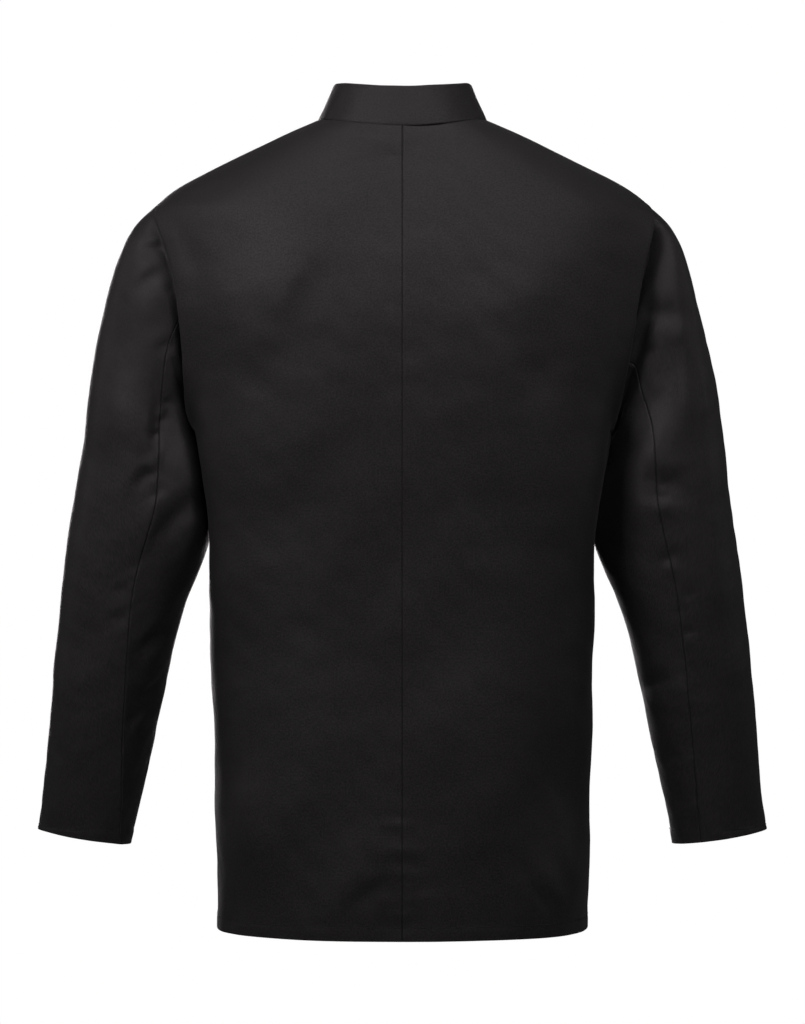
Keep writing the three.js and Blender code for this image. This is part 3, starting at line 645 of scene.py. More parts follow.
front_left, front_left_points, front_left_normals, front_left_hem, front_left_lap = front_panel("left", 1)
right_made = front_panel("right", -1)
front_right, front_right_points, front_right_normals, front_right_hem, front_right_lap = right_made

# The two-piece sleeves: a wide top half and a narrower under half each, joined by a seam down the back of
# the arm and one inside its front. They are set into the armholes from below, and their cuffs are turned in
# and stitched.
SLEEVE_STANDOFF = 0.9
SLEEVE_TUCK = 3.0
RING_SWING = 1.6
CAP_SHARE = 0.3
FRONT_SLEEVE_SEAM = math.radians(-126)
SLEEVE_OUTER_EDGE = [
    (238, SHOULDER_TIP_Z),
    (260, -101),
    (278, -150),
    (292, -222),
    (306.5, -312),
    (320.5, -412),
    (331, -507),
    (340, -602),
    (347.5, -674),
]
SLEEVE_INNER_EDGE = [
    (194, UNDERARM_Z),
    (188.5, -330),
    (184.5, -362),
    (182.5, -392),
    (189, -415),
    (207, -460),
    (220, -509),
    (235.5, -577),
    (251, -647),
    (259, -688),
]
# Share of the sleeve's length, its reach behind and before its middle, and where the middle lies.
SLEEVE_DEPTHS = [
    (0, 50, 60, -4),
    (0.12, 60, 66, -8),
    (0.3, 62, 68, -12),
    (0.5, 59, 61, -14),
    (0.75, 51, 51, -18),
    (1, 44, 44, -26),
]
# Share of the sleeve's length, and the turn at which the left and the right elbow seam lies.
ELBOW_SEAM = [
    (0, 90, 108),
    (0.12, 100, 106),
    (0.3, 104, 95),
    (0.55, 101, 97),
    (0.8, 114, 105),
    (1, 139, 118),
]


def edge_curve(rows):
    """A smooth curve through an edge's points, given as x and z, at shares of its length."""
    rows = np.array(rows, float)
    run = np.concatenate([[0], np.cumsum(np.linalg.norm(np.diff(rows, axis=0), axis=1))])
    run /= run[-1]
    return curve_through(run, rows[:, 0], 0.012), curve_through(run, rows[:, 1], 0.012)


outer_x, outer_z = edge_curve(SLEEVE_OUTER_EDGE)
inner_x, inner_z = edge_curve(SLEEVE_INNER_EDGE)
depth_share = [row[0] for row in SLEEVE_DEPTHS]
sleeve_back, sleeve_front, sleeve_mid = (
    curve_through(depth_share, [row[k] for row in SLEEVE_DEPTHS], 0.03) for k in (1, 2, 3)
)
seam_share = [row[0] for row in ELBOW_SEAM]
elbow_turn = {
    "left": curve_through(seam_share, [math.radians(row[1]) for row in ELBOW_SEAM], 0.03),
    "right": curve_through(seam_share, [math.radians(row[2]) for row in ELBOW_SEAM], 0.03),
}


def sleeve_ring(turn, share, side):
    """A leaning ring of the sleeve: turn 0 is its outer edge, 90 degrees its back, 180 its inner edge."""
    swung = share ** RING_SWING
    x = (outer_x(share) + inner_x(swung)) / 2 + (outer_x(share) - inner_x(swung)) / 2 * np.cos(turn)
    z = (outer_z(share) + inner_z(swung)) / 2 + (outer_z(share) - inner_z(swung)) / 2 * np.cos(turn)
    behind = np.sin(turn)
    y = sleeve_mid(share) + behind * np.where(behind > 0, sleeve_back(share), sleeve_front(share))
    return np.stack([side * x, y, z], -1)


def armhole_foot(around, side_name, side):
    """Where the sleeve's upper edge lies: under the body's rolled edge."""
    ahead = around < 0
    back_angle, z = armhole_at(np.abs(around), "back", side_name)
    front_angle, z = armhole_at(np.abs(around), "front", side_name)
    angle = np.where(ahead, front_angle, back_angle)
    surface = lambda a, b: body_point(a, b, side)
    inside = np.stack([0 * z, 0 * z, z - 60], -1)
    tuck = (0.8 + (SLEEVE_TUCK - 0.8) * smooth_step(np.abs(around) / 0.9))[..., None]
    foot = surface(angle, z) - tuck * outward_normals(surface, angle, z, 0.01, 1.0, inside)
    foot[..., 0] += side * SLEEVE_STANDOFF
    return foot


def sleeve_point(turn, share, side_name, side):
    """A point of the sleeve, which starts as the armhole and loses that shape on the way down."""
    share = np.maximum(share, 0)
    left = np.clip(1 - share / CAP_SHARE, 0, 1)
    around = np.where(turn > math.pi, turn - 2 * math.pi, turn)
    shift = armhole_foot(around, side_name, side) - sleeve_ring(turn, 0 * share, side)
    return sleeve_ring(turn, share, side) + shift * (left ** 2)[..., None]


# Folds of the sleeves as seen from behind: pulls below the shoulder tips, breaks beside the elbow seams,
# slanting wrinkles on the under halves, and long pressed creases on the outer sides.
LEFT_SLEEVE_FOLDS = [
    (225, -110, 248, -118, 1.0, 6.0, 1.8, 0.0, 0.4),
    (222, -119, 254, -128, -1.0, 6.5, -3.2, 0.3, 0.4),
    (217, -136, 258, -174, -3.0, 8.0, -3.4, 0.2, 0.35),
    (216, -159, 224, -166, 0.0, 4.0, -2.2, 0.0, 0.5),
    (213, -209, 238, -222, 1.0, 6.0, -1.8, 0.3, 0.3),
    (228, -236, 241, -344, 4.0, 9.0, -3.2, 0.3, 0.5),
    (209, -189, 199, -261, 0.0, 5.0, -3.6, 0.0, 0.4),
    (211, -262, 226, -272, 0.0, 4.5, -1.8, 0.3, 0.6),
    (214, -276, 231, -290, 0.0, 4.5, -2.0, 0.2, 0.7),
    (221, -292, 236, -302, 0.0, 4.0, -1.8, 0.2, 0.6),
    (236, -328, 254, -358, -2.0, 6.0, -3.8, 0.3, 0.3),
    (229, -318, 248, -336, 0.0, 6.0, 1.8, 0.0, 0.5),
    (200, -276, 222, -360, 3.0, 10, 3.0, 0.2, 0.5),
    (186, -350, 247, -423, -5.0, 8.5, -5.2, 0.3, 0.4),
    (196, -336, 250, -396, -5.0, 8.0, 2.0, 0.0, 0.5),
    (221, -476, 252, -510, -2.0, 6.5, -2.8, 0.3, 0.4),
    (226, -500, 250, -524, -2.0, 8.0, 2.0, 0.0, 0.4),
    (223, -529, 256, -556, -2.0, 6.0, -2.4, 0.3, 0.4),
    (238, -558, 259, -592, -3.0, 5.0, 1.9, 0.2, 0.4),
    (233, -600, 262, -640, -2.0, 7.0, -1.8, 0.2, 0.5),
    (262, -440, 276, -452, 0.0, 5.0, -1.2, 0.2, 0.2),
    (260, -468, 278, -476, 0.0, 5.0, -1.3, 0.2, 0.2),
    (262, -500, 274, -514, 0.0, 5.0, -1.1, 0.2, 0.2),
    (286, -200, 326, -560, 5.0, 10, 1.1, 0.0, 0.5),
]
RIGHT_SLEEVE_FOLDS = [
    (-237, -95, -225, -163, 3.0, 11, -3.0, 0.2, 0.4),
    (-222, -155, -210, -240, 2.0, 13, -4.0, 0.2, 0.5),
    (-228, -184, -270, -186, -2.0, 8.5, -3.4, 0.3, 0.3),
    (-240, -200, -272, -206, -2.0, 10, 1.2, 0.0, 0.5),
    (-222, -220, -240, -222, 0.0, 5.5, -2.4, 0.2, 0.4),
    (-269, -144, -281, -228, 1.5, 4.5, 1.9, 0.2, 0.5),
    (-280, -222, -285, -306, 1.0, 4.5, 1.9, 0.2, 0.5),
    (-285, -298, -295, -460, 2.0, 5.0, 1.6, 0.2, 0.4),
    (-216, -338, -272, -344, -3.0, 8.0, -2.8, 0.2, 0.5),
    (-219, -356, -268, -358, 2.0, 7.0, -2.2, 0.2, 0.4),
    (-228, -372, -262, -366, 0.0, 7.0, 1.4, 0.0, 0.5),
    (-238, -420, -262, -410, 0.0, 7.0, -1.8, 0.2, 0.4),
    (-262, -452, -280, -446, 0.0, 5.0, -1.2, 0.2, 0.3),
    (-262, -486, -278, -482, 0.0, 5.0, -1.2, 0.2, 0.3),
    (-224, -540, -260, -528, 2.0, 7.0, -2.6, 0.3, 0.4),
    (-228, -560, -258, -548, 2.0, 8.0, 1.5, 0.0, 0.4),
    (-244, -612, -270, -596, 2.0, 7.0, -1.6, 0.2, 0.4),
    (-256, -663, -278, -652, 3.0, 5.0, 1.9, 0.2, 0.6),
]
# The fronts of both sleeves break softly inside the elbow and fall straight below it.
SLEEVE_FRONT_FOLDS = [
    (204, -236, 246, -262, 3.0, 9.0, -3.0, 0.2, 0.4),
    (198, -300, 252, -334, 5.0, 12, -4.0, 0.2, 0.4),
    (206, -330, 276, -352, 5.0, 13, 2.2, 0.0, 0.5),
    (210, -392, 288, -404, 5.0, 12, -4.2, 0.3, 0.45),
    (222, -428, 290, -424, -4.0, 11, -3.4, 0.2, 0.4),
    (232, -470, 296, -502, 4.0, 12, -2.6, 0.2, 0.4),
    (268, -120, 272, -230, 4.0, 12, 2.0, 0.0, 0.5),
    (252, -560, 312, -604, 3.0, 13, -2.0, 0.0, 0.5),
]
# How deep each sleeve dips beside the body's rolled edge.
ARMHOLE_TROUGH = {"left": 8, "right": 14}
# How far the inner back of each sleeve is pushed out or in between its shoulder and its elbow.
INNER_BULGE = {"left": 20, "right": -16}
# How far the back of each sleeve falls in below the shoulder tip, beside the armhole.
CAP_HOLLOW = {"left": 7, "right": 17}
# How far the elbow seam stands out as a pressed crease below the elbow.
ELBOW_CREASE = {"left": 2.8, "right": 1.0}
# How strongly the cloth puckers beside the sleeve's seams.
ELBOW_PUCKER = {"left": 0.22, "right": 0.26}
sleeve_drift = ripples(41, 22, 45, 150)
sleeve_crumple = ripples(43, 26, 14, 38)


def cuff_depth(turn):
    """The cuff's turned-in hem is deeper on the inside of the wrist, so that its stitching runs level."""
    return 4.5 + 9.5 * (1 - np.cos(turn)) / 2


def sleeve_half(name, side_name, side, from_turn, to_turn, width):
    rows, columns = spaced(640, 3.0), spaced(width, 3.0)
    share = rows[:, None] + 0 * columns[None, :]
    first, last = from_turn(rows)[:, None], to_turn(rows)[:, None]
    turn = first + (last - first) * columns[None, :]

    def surface(turn, share):
        points = sleeve_point(turn, share, side_name, side)
        inner = np.exp(-((turn - math.radians(148)) / 0.45) ** 2) * np.exp(-((share - 0.34) / 0.16) ** 4)
        points[..., 1] += INNER_BULGE[side_name] * inner
        cap = np.exp(-((turn - math.radians(102)) / 0.72) ** 2) * np.exp(-((share - 0.15) / 0.13) ** 4)
        points[..., 1] -= CAP_HOLLOW[side_name] * cap * smooth_step(share / 0.07)
        return points

    points = surface(turn, share)
    swung = share ** RING_SWING
    middle_x, middle_z = (outer_x(share) + inner_x(swung)) / 2, (outer_z(share) + inner_z(swung)) / 2
    middle = np.stack([side * middle_x, sleeve_mid(share), middle_z], -1)
    normals = outward_normals(surface, turn, np.maximum(share, 0.003), 0.01, 0.003, middle)
    x, y, z = points[..., 0], points[..., 1], points[..., 2]
    behind = np.clip(8 * normals[..., 1], 0, 1)
    ahead = np.clip(-8 * normals[..., 1], 0, 1)
    own_folds = LEFT_SLEEVE_FOLDS if side_name == "left" else RIGHT_SLEEVE_FOLDS
    height = 1.15 * behind * fold_depth(x, z, own_folds)
    height += ahead * fold_depth(side * x, z + (0 if side > 0 else 9), SLEEVE_FRONT_FOLDS)
    around, along = 70 * np.cos(turn) + side * 400, z + 50 * np.sin(turn)
    uneven = 0.9 * sleeve_drift(around, along) + 0.14 * sleeve_crumple(around, along)
    height += uneven * smooth_step(share / 0.06)
    from_armhole = run_lengths(points, 0)
    from_cuff = from_armhole[-1:] - from_armhole
    from_first = run_lengths(points, 1)
    from_last = from_first[:, -1:] - from_first
    seam = np.minimum(from_first, from_last)
    height += seam_roll(seam, 0.8, 0.5) + 0.12 * np.exp(-((seam - 3) / 2.5) ** 2)
    from_elbow = from_last if name == "top_sleeve" else from_first
    height += ELBOW_CREASE[side_name] * smooth_step((share - 0.5) / 0.12) * np.exp(-from_elbow / 11)
    pucker = seam_pucker(seam * 0.4 + side * 50, z + x * 0.5)
    height += ELBOW_PUCKER[side_name] * np.exp(-seam / 12) * pucker
    height -= 1.2 * np.exp(-((from_armhole - 5) / 5.0) ** 2) * (1 - np.cos(turn)) / 2
    beside_back = np.clip(np.sin(turn), 0, 1) ** 0.5 * smooth_step((turn - 0.3) / 0.5)
    dip = (1 - np.exp(-from_armhole / 1.6)) * np.exp(-(from_armhole / 22) ** 2)
    height -= ARMHOLE_TROUGH[side_name] * beside_back * dip
    depth = cuff_depth(turn)
    height += hem_swell(from_cuff, depth, 2 * side, from_first)
    thickness = CLOTH + (HEM_THICKNESS - CLOTH) * smooth_step((depth - from_cuff) / 2)
    piece, outer = cloth_piece(f"{name}_{side_name}_panel", points, normals, height, thickness, twill)
    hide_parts(f"lower_{name}_{side_name}", f"upper_{name}_{side_name}")
    return outer, normals, from_cuff, depth


cuffs = []
for side_name, side in (("left", 1), ("right", -1)):
    elbow = elbow_turn[side_name]
    front_seam = lambda share: np.full_like(share, FRONT_SLEEVE_SEAM)
    front_seam_beyond = lambda share: np.full_like(share, FRONT_SLEEVE_SEAM + 2 * math.pi)
    cuffs.append(sleeve_half("top_sleeve", side_name, side, front_seam, elbow, 240))
    under = sleeve_half("under_sleeve", side_name, side, elbow, front_seam_beyond, 110)
    cuffs.append(under)

# The stand collar: two layers of the twill over a stiffener, sewn into the neck seam and pressed towards
# it. It leans in a little all round, and its two rounded ends meet edge to edge at the centre front.
COLLAR_DEPTH = 38
COLLAR_CLOTH = 2.2
COLLAR_LEAN = {"side": 15.5, "back": 10, "front": 9}
COLLAR_END_GAP = 1.5
COLLAR_CORNER = 11
COLLAR_STAND = 0.4
COLLAR_BACK_RISE = 2

collar_turn = np.linspace(math.pi, -math.pi, 200)
around = np.abs(collar_turn)
back_foot_angle, back_foot_z = neckline_at(np.minimum(around, math.pi / 2), "back")
front_foot_angle, front_foot_z = neckline_at(np.minimum(math.pi - around, math.pi / 2), "front")
foot_angle = np.where(around <= math.pi / 2, back_foot_angle, front_foot_angle)
foot_z = np.where(around <= math.pi / 2, back_foot_z, front_foot_z)
collar_side = np.where(collar_turn < 0, -1, 1)
collar_foot = body_point(foot_angle, foot_z, collar_side)
ends = np.where(np.cos(collar_turn) > 0, COLLAR_LEAN["back"], COLLAR_LEAN["front"])
collar_lean = ends + (COLLAR_LEAN["side"] - ends) * np.abs(np.sin(collar_turn))
spread = np.ones(15) / 15
collar_lean = np.convolve(np.pad(collar_lean, 7, mode="wrap"), spread, "valid")
inward = -collar_foot * np.array([1, 1, 0])
inward /= np.linalg.norm(inward, axis=-1, keepdims=True)
back_rise = COLLAR_BACK_RISE * np.clip(np.cos(collar_turn), 0, 1) ** 2
rise = np.sqrt(COLLAR_DEPTH ** 2 - collar_lean ** 2) + back_rise
upright = inward * collar_lean[:, None] + np.array([0, 0, 1]) * rise[:, None]
along = np.gradient(collar_foot, axis=0)
collar_out = np.cross(upright, along)
collar_out /= np.linalg.norm(collar_out, axis=-1, keepdims=True)
collar_out *= np.sign(np.sum(collar_out * -inward, -1))[:, None]
collar_run = np.concatenate([[0], np.cumsum(np.linalg.norm(np.diff(collar_foot, axis=0), axis=1))])
collar_end = np.minimum(collar_run, collar_run[-1] - collar_run)
collar_wave = ripples(53, 16, 30, 90)


def collar_height_share(end):
    """The share of its full depth that the collar keeps near its rounded ends."""
    inside = np.clip(1 - end / COLLAR_CORNER, 0, 1)
    return 1 - COLLAR_CORNER / COLLAR_DEPTH * (1 - np.sqrt(1 - 0.98 * inside ** 2))


# The collar's section, from its foot up the outer face, over the rounded top edge and down the inner
# face: share of the depth, and distance out from the middle of its thickness.
half_cloth = COLLAR_CLOTH / 2
section = [(-0.03, -1.6), (-0.012, -0.4), (0.0, 0.5), (0.015, half_cloth)]
section += [(share, half_cloth) for share in np.linspace(0.035, 0.955, 26)]
section += [(0.975, 0.95), (0.990, 0.65), (0.998, 0.25), (1.0, 0.0)]
section += [(0.998, -0.25), (0.990, -0.65), (0.975, -0.95)]
section += [(share, -half_cloth) for share in np.linspace(0.955, 0.02, 18)]
section += [(-0.03, -half_cloth - 1.2)]
section = np.array(section)
shares = section[:, 0][:, None] * collar_height_share(collar_end)[None, :]
wave = collar_wave(collar_run[None, :], shares * COLLAR_DEPTH)
out = section[:, 1][:, None] + 0.5 * smooth_step(shares / 0.35) * wave
outer_face = (section[:, 1] > 0)[:, None]
above = shares * COLLAR_DEPTH
out = out - outer_face * 0.35 * np.exp(-((above - 1.6) / 0.8) ** 2)
out = out + outer_face * 0.25 * np.exp(-above / 5) * seam_pucker(collar_run[None, :], above)
out = out + COLLAR_STAND - half_cloth
collar_grid = (
    collar_foot[None, :, :]
    + upright[None, :, :] * shares[..., None]
    + collar_out[None, :, :] * out[..., None]
)
collar_grid += 0.5 * COLLAR_END_GAP * np.sign(collar_turn)[None, :, None] * np.array([1, 0, 0]) * (
    np.exp(-collar_end / 3)[None, :, None]
)
rows, columns = shares.shape
corner = np.arange(rows * columns).reshape(rows, columns)
a, b, c, d = corner[:-1, :-1], corner[:-1, 1:], corner[1:, 1:], corner[1:, :-1]
faces = np.stack([a, d, c, b], -1).reshape(-1, 4).tolist()
faces.append(corner[:, 0].tolist())
faces.append(corner[::-1, -1].tolist())
faces += np.stack([corner[-1, :-1], corner[0, :-1], corner[0, 1:], corner[-1, 1:]], -1)[:, ::-1].tolist()
collar_mesh = bpy.data.meshes.new("stand_collar")
collar_mesh.from_pydata((collar_grid.reshape(-1, 3) * MM).tolist(), [], faces)
collar_grain = np.stack([collar_run[None, :] + 0 * shares, above + 0 * shares], -1).reshape(-1, 2) * MM
loops = np.empty(len(collar_mesh.loops), np.int32)
collar_mesh.loops.foreach_get("vertex_index", loops)
layer = collar_mesh.uv_layers.new(name="grain")
layer.data.foreach_set("uv", collar_grain[loops].astype(np.float32).ravel())
collar_mesh.polygons.foreach_set("use_smooth", np.ones(len(collar_mesh.polygons), bool))
collar_mesh.update()
collar = bpy.data.objects.new("stand_collar", collar_mesh)
bpy.context.collection.objects.link(collar)
collar_mesh.materials.append(twill)
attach(collar, "root")
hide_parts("collar")

# The stitching: black spun thread, in short lock stitches that sink a little into the cloth. It runs
# along the foot of the collar, round the hem and the cuffs, and down the free front edge.
def thread():
    """Black spun thread with a twist in it, a little glossier than the cloth."""
    material, tree, shader = node_material("black thread")
    nodes, links = tree.nodes, tree.links
    place = nodes.new("ShaderNodeTexCoord")
    wave = nodes.new("ShaderNodeTexWave")
    wave.bands_direction = "DIAGONAL"
    wave.inputs["Scale"].default_value = 900
    wave.inputs["Distortion"].default_value = 1.5
    links.new(place.outputs["Object"], wave.inputs["Vector"])
    ramp = nodes.new("ShaderNodeValToRGB")
    ramp.color_ramp.elements[0].color = (0.007, 0.0068, 0.007, 1)
    ramp.color_ramp.elements[1].color = (0.018, 0.0172, 0.018, 1)
    links.new(wave.outputs["Fac"], ramp.inputs["Fac"])
    links.new(ramp.outputs["Color"], shader.inputs["Base Color"])
    bump = nodes.new("ShaderNodeBump")
    bump.inputs["Strength"].default_value = 0.6
    bump.inputs["Distance"].default_value = 0.0001
    links.new(wave.outputs["Fac"], bump.inputs["Height"])
    links.new(bump.outputs["Normal"], shader.inputs["Normal"])
    shader.inputs["Roughness"].default_value = 0.6
    shader.inputs["Specular IOR Level"].default_value = 0.25
    return material


black_thread = thread()


def line_at(points, normals, distance, wanted, axis):
    """The line on a grid where the distance from one of its edges is the one wanted, with its normals."""
    if axis == 1:
        points, normals, distance = points.swapaxes(0, 1), normals.swapaxes(0, 1), distance.T
        wanted = wanted.T if np.ndim(wanted) else wanted
    beyond = distance - wanted
    row = np.argmax(beyond > 0, axis=0)
    column = np.arange(points.shape[1])
    before, after = beyond[row - 1, column], beyond[row, column]
    share = (-before / (after - before))[:, None]
    line = points[row - 1, column] * (1 - share) + points[row, column] * share
    facing = normals[row - 1, column] * (1 - share) + normals[row, column] * share
    return line, facing / np.linalg.norm(facing, axis=-1, keepdims=True)


def stitch_row(name, lines, pitch, length, radius, proud):
    """Short threads laid end to end along each line: small capsules, half sunk into the cloth."""
    ring = np.linspace(0, 2 * math.pi, 6, endpoint=False)
    profile = [(-0.5, 0.15), (-0.38, 0.8), (0, 1.0), (0.38, 0.8), (0.5, 0.15)]
    vertices, faces = [], []
    for line, facing in lines:
        run = np.concatenate([[0], np.cumsum(np.linalg.norm(np.diff(line, axis=0), axis=1))])
        places = np.arange(pitch, run[-1] - pitch / 2, pitch)
        middle = np.stack([np.interp(places, run, line[:, k]) for k in range(3)], -1)
        ahead = np.stack([np.interp(places + 1, run, line[:, k]) for k in range(3)], -1) - middle
        up = np.stack([np.interp(places, run, facing[:, k]) for k in range(3)], -1)
        ahead /= np.linalg.norm(ahead, axis=-1, keepdims=True)
        aside = np.cross(ahead, up)
        for k in range(len(places)):
            first = len(vertices)
            for along, thick in profile:
                centre = middle[k] + ahead[k] * along * length + up[k] * (proud * thick - 0.4 * radius)
                for a in ring:
                    bend = aside[k] * math.cos(a) * radius * 1.25 + up[k] * math.sin(a) * radius
                    vertices.append((centre + bend * thick) * MM)
            for level in range(len(profile) - 1):
                for a in range(6):
                    b = (a + 1) % 6
                    low, high = first + 6 * level, first + 6 * level + 6
                    faces.append((low + a, low + b, high + b, high + a))
            faces.append(tuple(range(first + 5, first - 1, -1)))
            faces.append(tuple(range(first + 24, first + 30)))
    mesh = bpy.data.meshes.new(name)
    mesh.from_pydata([tuple(v) for v in vertices], [], faces)
    mesh.polygons.foreach_set("use_smooth", np.ones(len(mesh.polygons), bool))
    mesh.materials.append(black_thread)
    row = bpy.data.objects.new(name, mesh)
    bpy.context.collection.objects.link(row)
    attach(row, "root")
    return row


hem_lines = [
    line_at(back_left_points, back_left_normals, back_left_hem, HEM_DEPTH, 0),
    line_at(back_right_points, back_right_normals, back_right_hem, HEM_DEPTH, 0),
    line_at(front_left_points, front_left_normals, front_left_hem, HEM_DEPTH, 0),
    line_at(front_right_points, front_right_normals, front_right_hem, HEM_DEPTH, 0),
]
stitch_row("hem_stitching", hem_lines, 3.0, 2.4, 0.26, 0.2)
stitch_row("cuff_stitching", [line_at(*cuff, 0) for cuff in cuffs], 3.0, 2.4, 0.26, 0.2)
edge_line, edge_facing = line_at(front_left_points, front_left_normals, front_left_lap, FRONT_EDGE_DEPTH, 1)
stitch_row("front_edge_stitching", [(edge_line[4:-4], edge_facing[4:-4])], 3.0, 2.4, 0.26, 0.2)
level = np.argmin(np.abs(section[:20, 0] * COLLAR_DEPTH - 1.7))
foot_line = collar_grid[level, 3:-3]
stitch_row("collar_stitching", [(foot_line, collar_out[3:-3])], 2.6, 2.0, 0.24, 0.2)

# The buttons: moulded black resin with a raised rim and four holes, sewn on with thread in two columns.
# Those of the right column fasten through buttonholes, worked in thread across the free front edge.
BUTTON_DIAMETER = 20
BUTTON_THICKNESS = 3.6
BUTTON_RIM = 2.6
BUTTON_DISH = 0.9
BUTTON_HOLE = 2.0
BUTTON_HOLE_SPREAD = 2.3
BUTTON_ROWS = 5
BUTTON_TOP_Z = -118
BUTTON_STEP = 88
BUTTON_COLUMN_X = {"top": 46, "bottom": 40}
BUTTON_CLEARANCE = 0.75


def resin():
    """Moulded black resin: faintly swirled, polished on top and scuffed in places."""
    material, tree, shader = node_material("black resin")
    nodes, links = tree.nodes, tree.links
    place = nodes.new("ShaderNodeTexCoord")
    swirl = nodes.new("ShaderNodeTexNoise")
    swirl.inputs["Scale"].default_value = 180
    swirl.inputs["Detail"].default_value = 4
    swirl.inputs["Distortion"].default_value = 1.4
    links.new(place.outputs["Object"], swirl.inputs["Vector"])
    ramp = nodes.new("ShaderNodeValToRGB")
    ramp.color_ramp.elements[0].color = (0.006, 0.006, 0.0065, 1)
    ramp.color_ramp.elements[1].color = (0.018, 0.0175, 0.018, 1)
    links.new(swirl.outputs["Fac"], ramp.inputs["Fac"])
    links.new(ramp.outputs["Color"], shader.inputs["Base Color"])
    scuff = nodes.new("ShaderNodeMapRange")
    scuff.inputs["To Min"].default_value = 0.22
    scuff.inputs["To Max"].default_value = 0.42
    links.new(swirl.outputs["Fac"], scuff.inputs["Value"])
    links.new(scuff.outputs["Result"], shader.inputs["Roughness"])
    return material


black_resin = resin()


def button_mesh():
    """A dished disc with a rounded rim. Its face is cut through by four small round holes."""
    radius, segments = BUTTON_DIAMETER / 2, 48
    dish = BUTTON_THICKNESS - BUTTON_DISH
    profile = [(radius - 1.6, 0), (radius - 0.7, 0.25), (radius - 0.15, 0.9)]
    profile += [(radius, 1.7), (radius - 0.1, 2.5)]
    profile += [(radius - 0.5, 3.2), (radius - 1.1, 3.55), (radius - 1.7, BUTTON_THICKNESS)]
    face = radius - BUTTON_RIM
    profile += [(face, 3.45), (face - 0.6, 3.0), (face - 1.3, dish)]
    ring = np.linspace(0, 2 * math.pi, segments, endpoint=False)
    vertices = [(r * math.cos(a), r * math.sin(a), z) for r, z in profile for a in ring]
    faces = []
    for level in range(len(profile) - 1):
        for k in range(segments):
            after = (k + 1) % segments
            low, high = level * segments, (level + 1) * segments
            faces.append((low + k, low + after, high + after, high + k))
    # Twelve corners round each hole, on the face and on the back.
    turns = np.linspace(0, 2 * math.pi, 12, endpoint=False)
    half, rim = BUTTON_HOLE_SPREAD / 2, BUTTON_HOLE / 2
    centres = [(half, half), (-half, half), (-half, -half), (half, -half)]
    for z, outer in ((dish, (len(profile) - 1) * segments), (0, 0)):
        flat = [Vector(vertices[outer + k][:2]) for k in range(segments)]
        edges = [(k, (k + 1) % segments) for k in range(segments)]
        for x, y in centres:
            first = len(flat)
            flat += [Vector((x + rim * math.cos(t), y + rim * math.sin(t))) for t in turns]
            edges += [(first + k, first + (k + 1) % 12) for k in range(12)]
        placed, _, made, _, _, _ = delaunay_2d_cdt(flat, edges, [], 0, 1e-5)
        inside_hole = lambda p: any(math.hypot(p.x - x, p.y - y) < rim - 0.02 for x, y in centres)
        start = len(vertices)
        vertices += [(p.x, p.y, z) for p in placed]
        for tri in made:
            middle = sum((placed[k] for k in tri), Vector((0, 0))) / 3
            if not inside_hole(middle):
                corners = tri if z else tri[::-1]
                faces.append(tuple(start + k for k in corners))
    for x, y in centres:
        first = len(vertices)
        for z in (dish, 0):
            vertices += [(x + rim * math.cos(t), y + rim * math.sin(t), z) for t in turns]
        for k in range(12):
            after = (k + 1) % 12
            faces.append((first + k, first + after, first + 12 + after, first + 12 + k))
    mesh = bpy.data.meshes.new("button")
    mesh.from_pydata([(x * MM, y * MM, z * MM) for x, y, z in vertices], [], faces)
    joined = bmesh.new()
    joined.from_mesh(mesh)
    bmesh.ops.remove_doubles(joined, verts=joined.verts, dist=2e-6)
    bmesh.ops.recalc_face_normals(joined, faces=joined.faces)
    joined.to_mesh(mesh)
    joined.free()
    mesh.polygons.foreach_set("use_smooth", np.ones(len(mesh.polygons), bool))
    mesh.set_sharp_from_angle(angle=math.radians(40))
    mesh.materials.append(black_resin)
    return mesh


def thread_bars_mesh():
    """The two bars of thread that cross the face between the holes, and go down through them."""
    half = BUTTON_HOLE_SPREAD / 2
    low, top = 0.2, BUTTON_THICKNESS - BUTTON_DISH + 0.35
    vertices, faces = [], []
    for y in (-half, half):
        for aside in (-0.42, 0, 0.42):
            path = [(-half, low), (-half, top - 0.3), (-half + 0.25, top)]
            path += [(half - 0.25, top), (half, top - 0.3), (half, low)]
            first = len(vertices)
            for k, (x, z) in enumerate(path):
                before, after = path[max(k - 1, 0)], path[min(k + 1, 5)]
                along = Vector((after[0] - before[0], 0, after[1] - before[1])).normalized()
                across = Vector((0, 1, 0))
                up = along.cross(across)
                for turn in range(8):
                    a = 2 * math.pi * turn / 8
                    spot = Vector((x, y + aside, z)) + 0.25 * (across * math.cos(a) + up * math.sin(a))
                    vertices.append(spot * MM)
            for level in range(5):
                for a in range(8):
                    b = (a + 1) % 8
                    base, above = first + 8 * level, first + 8 * level + 8
                    faces.append((base + a, base + b, above + b, above + a))
            faces.append(tuple(range(first + 7, first - 1, -1)))
            faces.append(tuple(range(first + 40, first + 48)))
    mesh = bpy.data.meshes.new("button_thread")
    mesh.from_pydata(vertices, [], faces)
    mesh.polygons.foreach_set("use_smooth", np.ones(len(mesh.polygons), bool))
    mesh.materials.append(black_thread)
    return mesh


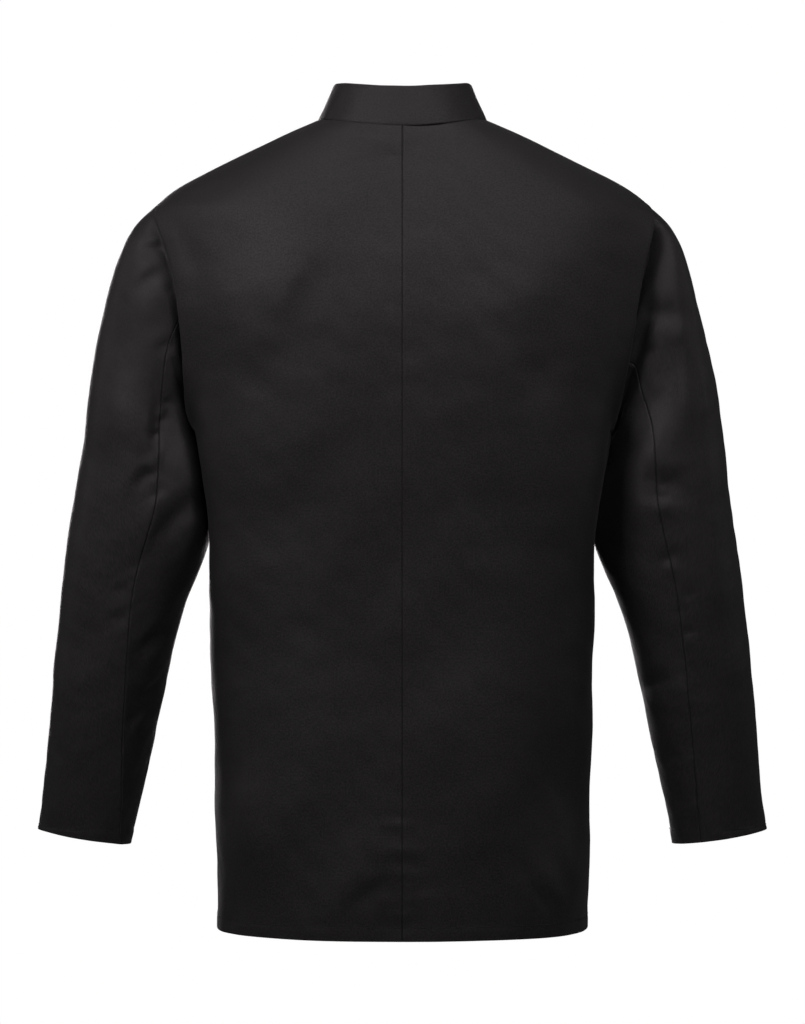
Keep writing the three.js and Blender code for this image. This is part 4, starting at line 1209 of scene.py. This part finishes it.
def front_spot(x, z):
    """The surface of the left front at x and z, and its normal."""
    spots = front_left_points.reshape(-1, 3)
    near = np.argsort((spots[:, 0] - x) ** 2 + (spots[:, 2] - z) ** 2 + 1e6 * (spots[:, 1] > 0))[:5]
    facing = front_left_normals.reshape(-1, 3)[near].mean(0)
    facing /= np.linalg.norm(facing)
    middle = spots[near].mean(0)
    y = middle[1] - (facing[0] * (x - middle[0]) + facing[2] * (z - middle[2])) / facing[1]
    return Vector((x, y, z)), Vector(facing)


shared_button, shared_bars = button_mesh(), thread_bars_mesh()
for row in range(BUTTON_ROWS):
    for side_name, side in (("left", 1), ("right", -1)):
        share = row / (BUTTON_ROWS - 1)
        x = side * (BUTTON_COLUMN_X["top"] + (BUTTON_COLUMN_X["bottom"] - BUTTON_COLUMN_X["top"]) * share)
        spot, facing = front_spot(x, BUTTON_TOP_Z - BUTTON_STEP * row)
        turned = facing.to_track_quat("Z", "Y").to_matrix().to_4x4()
        turned.translation = (spot + facing * BUTTON_CLEARANCE) * MM
        button = bpy.data.objects.new(f"resin_button_{side_name}_{row + 1}", shared_button)
        bars = bpy.data.objects.new(f"button_thread_{side_name}_{row + 1}", shared_bars)
        for piece in (button, bars):
            bpy.context.collection.objects.link(piece)
            piece.matrix_world = turned
            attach(piece, "root")
        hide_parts(f"button_{side_name}_{row + 1}")

buttonhole_lines = []
for row in range(BUTTON_ROWS):
    share = row / (BUTTON_ROWS - 1)
    x = -(BUTTON_COLUMN_X["top"] + (BUTTON_COLUMN_X["bottom"] - BUTTON_COLUMN_X["top"]) * share)
    z = BUTTON_TOP_Z - BUTTON_STEP * row
    # A slim oblong of close stitches round the slit, a little longer than the button is wide.
    for a in np.linspace(0, 2 * math.pi, 64, endpoint=False):
        across, up = math.cos(a), math.sin(a)
        spot, facing = front_spot(x + 2 + 12 * np.sign(across) * abs(across) ** 0.5, z + 1.1 * up)
        toward = Vector((0.2 * across, 0, up)).normalized()
        ends = np.array([spot - toward * 1.2, spot, spot + toward * 1.2])
        buttonhole_lines.append((ends, np.array([facing] * 3)))
stitch_row("buttonhole_stitching", buttonhole_lines, 1.2, 2.2, 0.3, 0.25)
